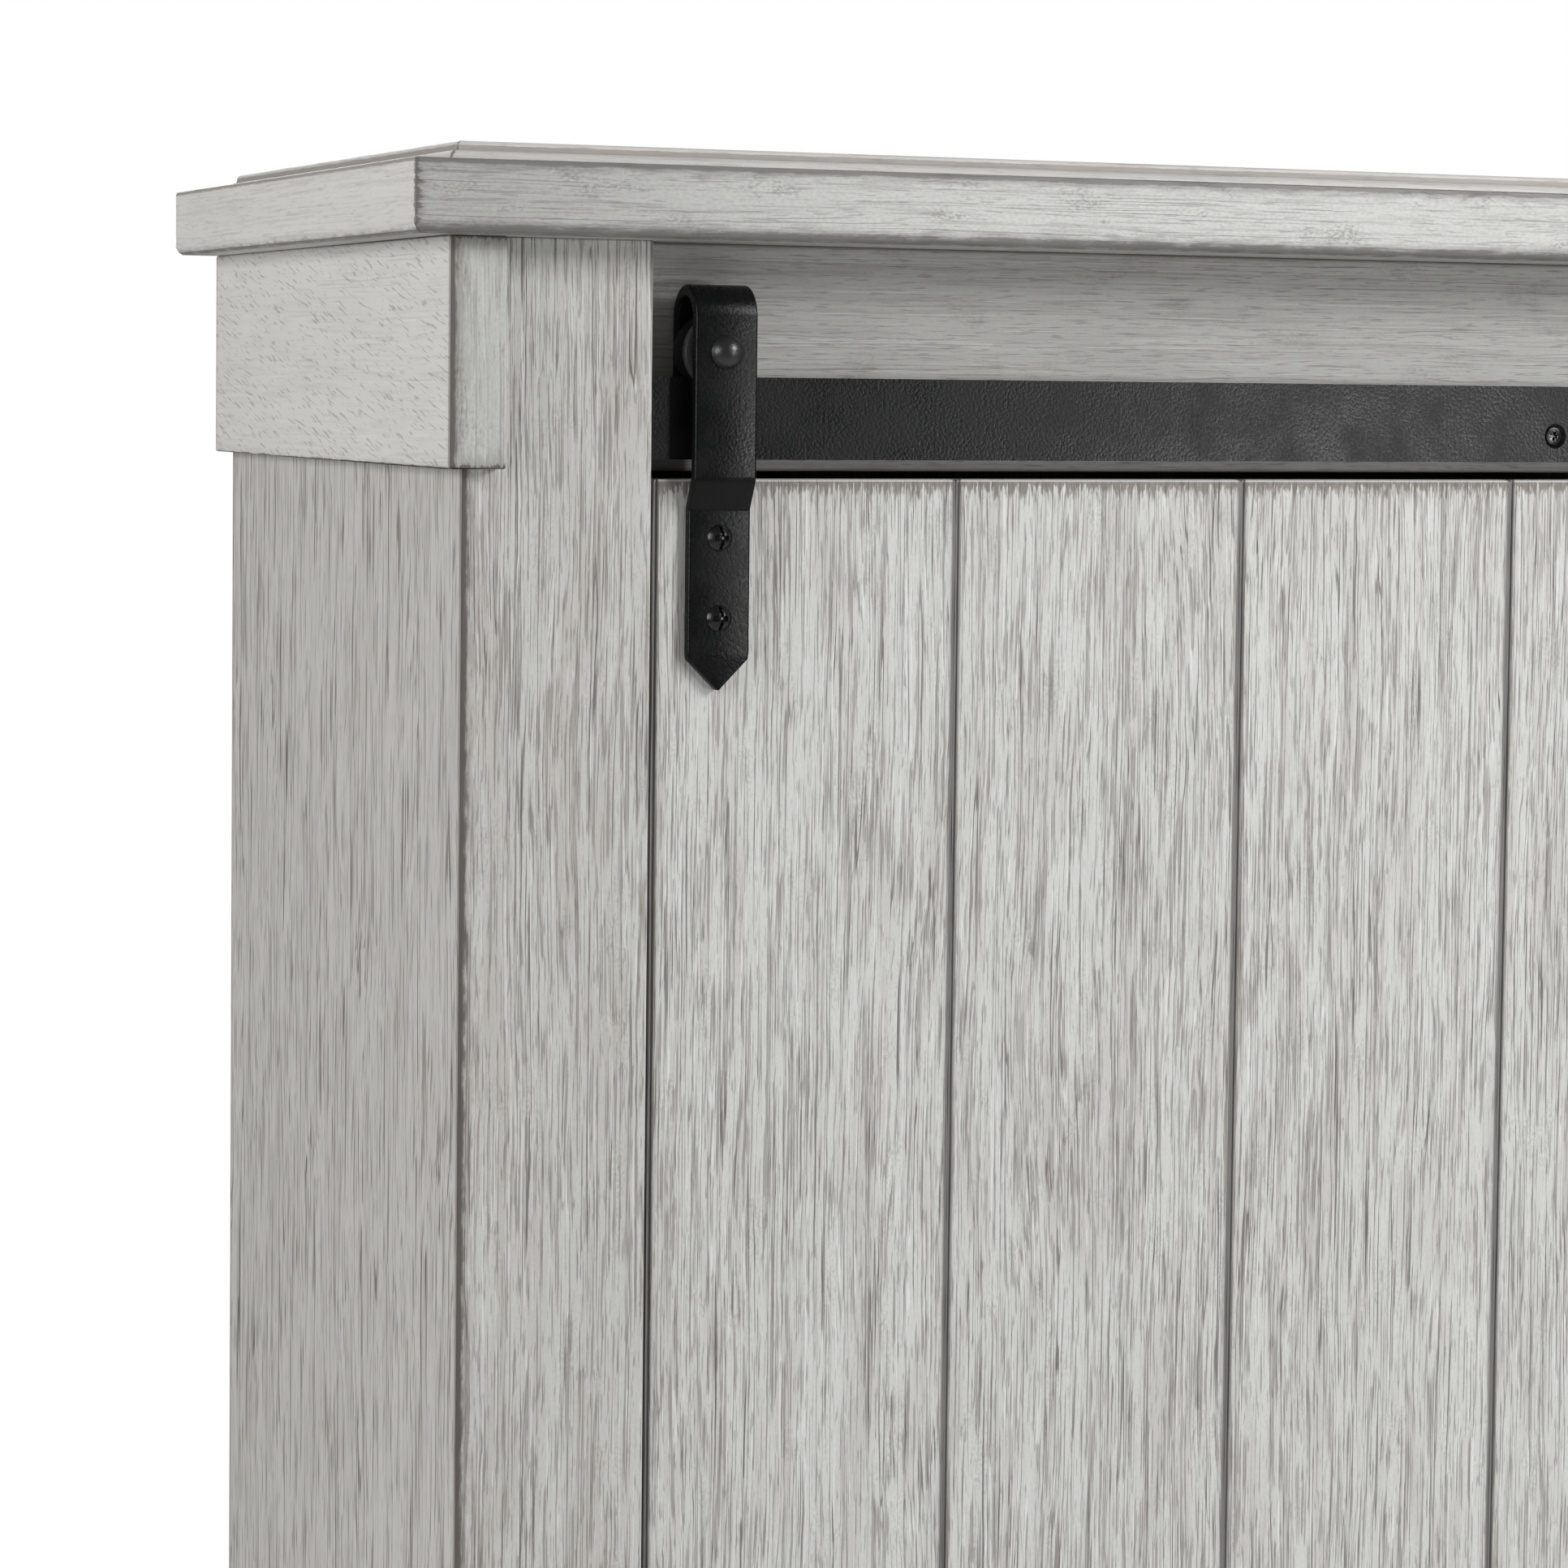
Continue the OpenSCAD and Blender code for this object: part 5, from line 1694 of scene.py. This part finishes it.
@dataclass
class Hanger:
    """Strap, bolt, roller and screws that carry one end of the door.

    Attributes:
        finishes: Finishes to dress the pieces in.
        side: Side of the door.
        thick: Thickness of the strap.
        edge: Radius of its long edges.
        bend: Radius of the joggle's bends.
        joggle: Heights of the joggle's upper and lower bend below the strap's top.
        leg: Length of the rear leg below the axle.
        tip: Half width of the point at the strap's lower end.
        dome: Radius and rise of the bolt's head.
        dome_rim: Height of the head's upright rim.
        shank: Radius of the bolt's shank.
        shank_ease: Chamfer at its end.
        bore: Radius of the roller's bore.
        groove: Width of the roller's groove at its tread and at its rim.
        tread: Radius of the tread.
    """

    finishes: Finishes
    side: Side
    thick: float = 6 * MM
    edge: float = 1.3 * MM
    bend: float = 7 * MM
    joggle: tuple[float, float] = (93.5 * MM, 108 * MM)
    leg: float = 21 * MM
    tip: float = 0.7 * MM
    dome: tuple[float, float] = (8.25 * MM, 6 * MM)
    dome_rim: float = 0.25 * MM
    shank: float = 4 * MM
    shank_ease: float = 0.5 * MM
    bore: float = 6.05 * MM
    groove: tuple[float, float] = (7.2 * MM, 9.4 * MM)
    tread: float = 11.7 * MM

    def build(self) -> None:
        """Builds the strap, the bolt and the roller."""
        self.strap()
        self.bolt()
        self.roller()

    def strap(self) -> None:
        """Builds the strap: a flat bar bent over the roller, with a pointed lower end."""
        node = f"{self.side.word}_hanger_strap"
        low, high = node_box(node)
        half = (high[0] - low[0]) / 2
        mid_x = (high[0] + low[0]) / 2
        t = self.thick / 2
        bolt_low, bolt_high = node_box(f"{self.side.word}_axle_bolt")
        back, front = float(high[1]) - t, float(low[1]) + t
        lower = float(node_box("door_plank_1")[0][1]) - t
        crown = (back - front) / 2
        leg_end = (bolt_low[2] + bolt_high[2]) / 2 - self.leg
        arc = np.linspace(0, math.pi, 29)[1:-1, None]
        over = np.concatenate([crown * np.cos(arc), crown * np.sin(arc)], 1)
        over += [(back + front) / 2, high[2] - t - crown]
        rise = np.linspace(leg_end, over[0, 1], 12)[:-1]
        upper, under = high[2] - self.joggle[0], high[2] - self.joggle[1]
        down = rounded_line(
            [(front, high[2] - t - crown), (front, upper), (lower, under), (lower, low[2] + 0.4 * MM)],
            [self.bend, self.bend],
            3 * MM,
        )
        line = np.concatenate([np.stack([0 * rise + back, rise], 1), over, down])
        run = np.concatenate([[0], np.cumsum(np.linalg.norm(np.diff(line, axis=0), axis=1))])
        width = np.minimum(half, self.tip + run[-1] - run)
        first = 1.2 * MM
        width = np.where(run < first, half - (first - run), width)
        skin = ribbon(line, mid_x, width, self.thick, self.edge)
        skin.piece(f"{node}_bar", "door", "black_iron", self.finishes.iron, node)

    def bolt(self) -> None:
        """Builds the axle bolt: a domed head with a thin rim and a shank."""
        node = f"{self.side.word}_axle_bolt"
        low, high = node_box(node)
        radius, rise = self.dome
        centre = np.array([(low[0] + high[0]) / 2, low[1] + rise, (low[2] + high[2]) / 2])
        ball = (radius**2 + rise**2) / (2 * rise)
        r = radius * np.linspace(0.03, 1, 14)
        h = np.sqrt(ball**2 - r**2) - (ball - rise)
        h[-1] = self.dome_rim
        end = rise - float(high[1] - low[1])
        ease = self.shank_ease
        shank = [(self.shank, 0), (self.shank, end + ease), (self.shank - ease, end)]
        bolt = turned(np.concatenate([np.stack([r, h], 1), shank]), centre, -BACK, 64)
        bolt.piece(f"{node}_dome", "door", "black_iron", self.finishes.bolt, node)

    def roller(self) -> None:
        """Builds the grooved roller with stepped sides and its bush."""
        node = f"{self.side.word}_roller"
        low, high = node_box(node)
        centre = (low + high) / 2
        half, rim = float(high[1] - low[1]) / 2, float(high[2] - low[2]) / 2
        side = [
            (self.bore, half), (8.6 * MM, half), (9.0 * MM, half - 1.2 * MM), (12.0 * MM, half - 1.4 * MM),
            (12.5 * MM, half - 0.3 * MM), (rim - 3.2 * MM, half), (rim - 0.8 * MM, half - 0.2 * MM),
            (rim - 0.2 * MM, half - 0.7 * MM), (rim, half - 1.2 * MM),
        ]
        narrow, wide = self.groove[0] / 2, self.groove[1] / 2
        groove = [(rim, wide), (self.tread + 0.4 * MM, narrow + 0.1 * MM), (self.tread, narrow - 0.5 * MM)]
        upper = np.array(side + groove)
        wheel = turned(np.concatenate([upper, (upper * [1, -1])[::-1]]), centre, BACK, 72, wrap=True)
        wheel.piece(f"{node}_wheel", node, "black_iron", self.finishes.roller, node)
        dress_node(f"{node}_bush", self.finishes.steel)


@dataclass
class Screws:
    """Visible screws with driver recesses.

    Attributes:
        finishes: Finishes to dress the pieces in.
        strap_head: Radius and rise of a strap screw's head.
        strap_seat: Distance from the front of the screws' CAD box to their seat.
        strap_heights: Heights of the strap screws above the strap's tip.
        strap_shank: Radius and length of their shanks.
        strap_arms: Half sizes of their recess arms.
        strap_recess: Depth of their recess.
        rail_head: Radius and rise of a rail screw's head.
        rail_count: Number of rail screws.
        rail_rim: Radius of the bar's countersink at its face.
        rail_drop: Depth of a rail screw's seat below the bar's face.
        rail_shank: Radius of its shank.
        rail_arms: Half sizes of its recess arms.
        rail_recess: Depth of its recess.
    """

    finishes: Finishes
    strap_head: tuple[float, float] = (6.5 * MM, 3.6 * MM)
    strap_seat: float = 4 * MM
    strap_heights: tuple[float, float] = (74.3 * MM, 35.3 * MM)
    strap_shank: tuple[float, float] = (2.5 * MM, 12 * MM)
    strap_arms: tuple = ((0.6 * MM, 5.4 * MM), (1.0 * MM, 3.4 * MM), (3.4 * MM, 1.0 * MM))
    strap_recess: float = 1.9 * MM
    rail_head: tuple[float, float] = (4.7 * MM, 0.4 * MM)
    rail_count: int = 3
    rail_rim: float = 6.4 * MM
    rail_drop: float = 1.7 * MM
    rail_shank: float = 2.4 * MM
    rail_arms: tuple = ((0.75 * MM, 3.0 * MM), (3.0 * MM, 0.75 * MM))
    rail_recess: float = 1.6 * MM

    def build(self) -> None:
        """Builds the screws in view and dresses the other ones."""
        self.strap_screws()
        for node in ("floor_guide_screws", "pull_screws"):
            dress_node(node, self.finishes.screw)
        self.rail_screws()

    def strap_screws(self) -> None:
        """Builds the screws that hold the straps to the door, two on each."""
        node = "hanger_screws"
        seat = float(node_box(node)[0][1]) + self.strap_seat
        heads = []
        for side in Side:
            low, high = node_box(f"{side.word}_hanger_strap")
            for height in self.strap_heights:
                centre = np.array([(low[0] + high[0]) / 2, seat, low[2] + height])
                heads.append(
                    screw_head(
                        centre, -BACK, *self.strap_head, self.strap_shank, self.strap_arms, self.strap_recess
                    )
                )
        Skin.joined(heads).piece("hanger_screw_heads", "door", "black_screws", self.finishes.screw, node)

    def rail_screws(self) -> None:
        """Builds the screws of the flat bar, each a little below its countersink's rim."""
        node = "track_screws"
        low, high = node_box(node)
        seat, level = low[1] + self.rail_drop, (low[2] + high[2]) / 2
        places = np.linspace(low[0] + self.rail_rim, high[0] - self.rail_rim, self.rail_count)
        shank = (self.rail_shank, float(high[1] - seat))
        heads = [
            screw_head(
                np.array([x, seat, level]), -BACK, *self.rail_head, shank, self.rail_arms,
                self.rail_recess, roll=0.4 + k,
            )
            for k, x in enumerate(places)
        ]
        Skin.joined(heads).piece("track_screw_heads", "case", "black_screws", self.finishes.screw, node)


@dataclass
class Track:
    """Flat bar, spacers, bumpers and floor guide.

    Attributes:
        finishes: Finishes to dress the pieces in.
    """

    finishes: Finishes

    def build(self) -> None:
        """Dresses the track's pieces."""
        for node in ("track_rail", "track_spacers"):
            dress_node(node, self.finishes.iron)
        for node in ("door_bumpers", "levelling_feet"):
            dress_node(node, self.finishes.rubber)
        dress_node("floor_guide", self.finishes.plastic)
        dress_node("axle_washers", self.finishes.roller)


@dataclass
class Pull:
    """Flat bar pull on two posts.

    Attributes:
        finishes: Finishes to dress the pieces in.
        edge: Radius of the bar's edges.
        post: Radius of a post at its foot and at its head.
        foot: Height of the foot's rim.
        ease: Chamfer of that rim.
    """

    finishes: Finishes
    edge: float = 1.4 * MM
    post: float = 6 * MM
    foot: float = 2 * MM
    ease: float = 0.4 * MM

    def build(self) -> None:
        """Builds the bar and the posts."""
        self.bar()
        self.posts()

    def bar(self) -> None:
        """Builds the upright bar."""
        node = "door_pull"
        low, high = node_box(node)
        wide, deep, tall = high - low
        section = plain_section(wide, deep, self.edge, 4 * MM, False)
        board = Board(section, low, RIGHT, BACK, UP, tall, seed=131, ease=self.edge, step=8 * MM)
        board.skin().piece(f"{node}_bar", "door", "black_iron", self.finishes.iron, node)

    def posts(self) -> None:
        """Builds the two posts: a rim at each end and a waist between."""
        node = "pull_posts"
        low, high = node_box(node)
        middle, reach = (low[0] + high[0]) / 2, float(high[1] - low[1])
        r, ease = self.post, self.ease
        half = np.array(
            [(r - ease, 0), (r, ease), (r, self.foot), (r * 0.78, 2 * self.foot), (r * 0.72, reach / 2)]
        )
        profile = np.concatenate([half, (half * [1, -1] + [0, reach])[::-1][1:]])
        skins = [
            turned(profile, np.array([middle, low[1], z]), BACK, 40) for z in (low[2] + r, high[2] - r)
        ]
        Skin.joined(skins).piece("pull_post_pair", "door", "black_iron", self.finishes.iron, node)


@dataclass(frozen=True)
class Lamp:
    """Square area light.

    Attributes:
        place: Where it hangs.
        target: Point that it faces.
        size: Length of its sides.
        power: Power in watts.
    """

    place: tuple[float, float, float]
    target: tuple[float, float, float]
    size: float
    power: float


LAMPS = {
    "key_light": Lamp((1.6, -2.4, 3.0), (-0.3, -0.2, 1.5), 1.2, 82),
    "left_fill": Lamp((-3.6, -0.8, 2.2), (-0.5, 0.0, 1.4), 1.8, 84),
    "right_fill": Lamp((1.3, -2.6, 1.5), (-0.2, -0.2, 1.5), 0.3, 19),
    "back_fill": Lamp((0.4, 3.4, 2.8), (0.0, 0.2, 1.0), 2.0, 45),
}


@dataclass
class Studio:
    """Floor, lights, backdrop light and camera.

    Attributes:
        place: Place of the camera.
        heading: Direction that it looks in, in degrees to the right of Y.
        pitch: Upward tilt in degrees.
        roll: Roll in degrees.
        lens: Focal length in millimetres.
        shift: Vertical shift of the frame.
        floor: Half size of the floor.
        ambient: Strength of the light from all sides.
    """

    place: tuple[float, float, float] = (-1.2161, -2.0423, 1.7177)
    heading: float = 22.692
    pitch: float = -3.199
    roll: float = 0.635
    lens: float = 94.496
    shift: float = -0.11
    floor: float = 3.0
    ambient: float = 0.18

    def build(self) -> None:
        """Builds the whole studio."""
        self.ground()
        self.sky()
        for name, lamp in LAMPS.items():
            self.light(name, lamp)
        self.camera()

    def ground(self) -> None:
        """Builds the pale floor: a square with faint unevenness in its shade."""
        n = Nodes("pale_floor")
        place = n.add("ShaderNodeTexCoord").outputs["Object"]
        cloud = n.ramp(n.noise(place, (3, 3, 3), 4.0), 0.3, 0.7)
        n.put(n.shader.inputs["Base Color"], n.mix(cloud, (0.80, 0.80, 0.79), (0.83, 0.83, 0.82)))
        n.shader.inputs["Roughness"].default_value = 0.8
        ring = np.array([(-1, -1), (1, -1), (1, 1), (-1, 1)]) * self.floor
        mesh = bpy.data.meshes.new("floor")
        mesh.from_pydata([(x, y, 0.0) for x, y in ring.tolist()], [], [(0, 1, 2, 3)])
        mesh.materials.append(n.material)
        floor = bpy.data.objects.new("floor", mesh)
        bpy.context.scene.collection.objects.link(floor)

    def sky(self) -> None:
        """Gives even light from all sides; the camera sees it as white."""
        world = bpy.data.worlds.new("studio")
        world.use_nodes = True
        bpy.context.scene.world = world
        tree = world.node_tree
        paper = tree.nodes["Background"]
        paper.inputs["Color"].default_value = (1, 1, 1, 1)
        paper.inputs["Strength"].default_value = 1.0
        glow = tree.nodes.new("ShaderNodeBackground")
        glow.inputs["Color"].default_value = (1, 1, 1, 1)
        glow.inputs["Strength"].default_value = self.ambient
        mix = tree.nodes.new("ShaderNodeMixShader")
        path = tree.nodes.new("ShaderNodeLightPath")
        tree.links.new(path.outputs["Is Camera Ray"], mix.inputs[0])
        tree.links.new(glow.outputs[0], mix.inputs[1])
        tree.links.new(paper.outputs[0], mix.inputs[2])
        tree.links.new(mix.outputs[0], tree.nodes["World Output"].inputs[0])

    def light(self, name: str, lamp: Lamp) -> None:
        """Hangs an area light that faces its target."""
        data = bpy.data.lights.new(name, "AREA")
        data.shape = "SQUARE"
        data.size = lamp.size
        data.energy = lamp.power
        obj = bpy.data.objects.new(name, data)
        obj.location = lamp.place
        obj.rotation_euler = (Vector(lamp.target) - Vector(lamp.place)).to_track_quat("-Z", "Y").to_euler()
        bpy.context.scene.collection.objects.link(obj)

    def camera(self) -> None:
        """Sets the camera up from its heading, pitch and roll."""
        lens = bpy.data.cameras.new("camera")
        lens.lens = self.lens
        lens.sensor_width = 36
        lens.shift_y = self.shift
        lens.clip_start = 0.05
        lens.clip_end = 60
        turn, tilt, roll = (math.radians(v) for v in (self.heading, self.pitch, self.roll))
        ahead = Vector((math.sin(turn) * math.cos(tilt), math.cos(turn) * math.cos(tilt), math.sin(tilt)))
        right = Vector((math.cos(turn), -math.sin(turn), 0))
        up = right.cross(ahead)
        across = right * math.cos(roll) + up * math.sin(roll)
        above = up * math.cos(roll) - right * math.sin(roll)
        axes = Matrix((across, above, -ahead)).transposed().to_4x4()
        camera = bpy.data.objects.new("camera", lens)
        camera.matrix_world = Matrix.Translation(self.place) @ axes
        bpy.context.scene.collection.objects.link(camera)
        bpy.context.scene.camera = camera


def main() -> None:
    logging.basicConfig(level=logging.INFO, format="%(message)s", stream=sys.stdout)
    finishes = Finishes.mixed()
    CaseFront(finishes).build()
    CornerCaps(finishes).build()
    Top(finishes).build()
    Interior(finishes).build()
    Track(finishes).build()
    Door(finishes).build()
    for side in Side:
        Hanger(finishes, side).build()
    Screws(finishes).build()
    Pull(finishes).build()
    Studio().build()
    view = bpy.context.scene.view_settings
    view.view_transform = "Standard"
    view.look = "None"


if __name__ == "__main__":
    main()
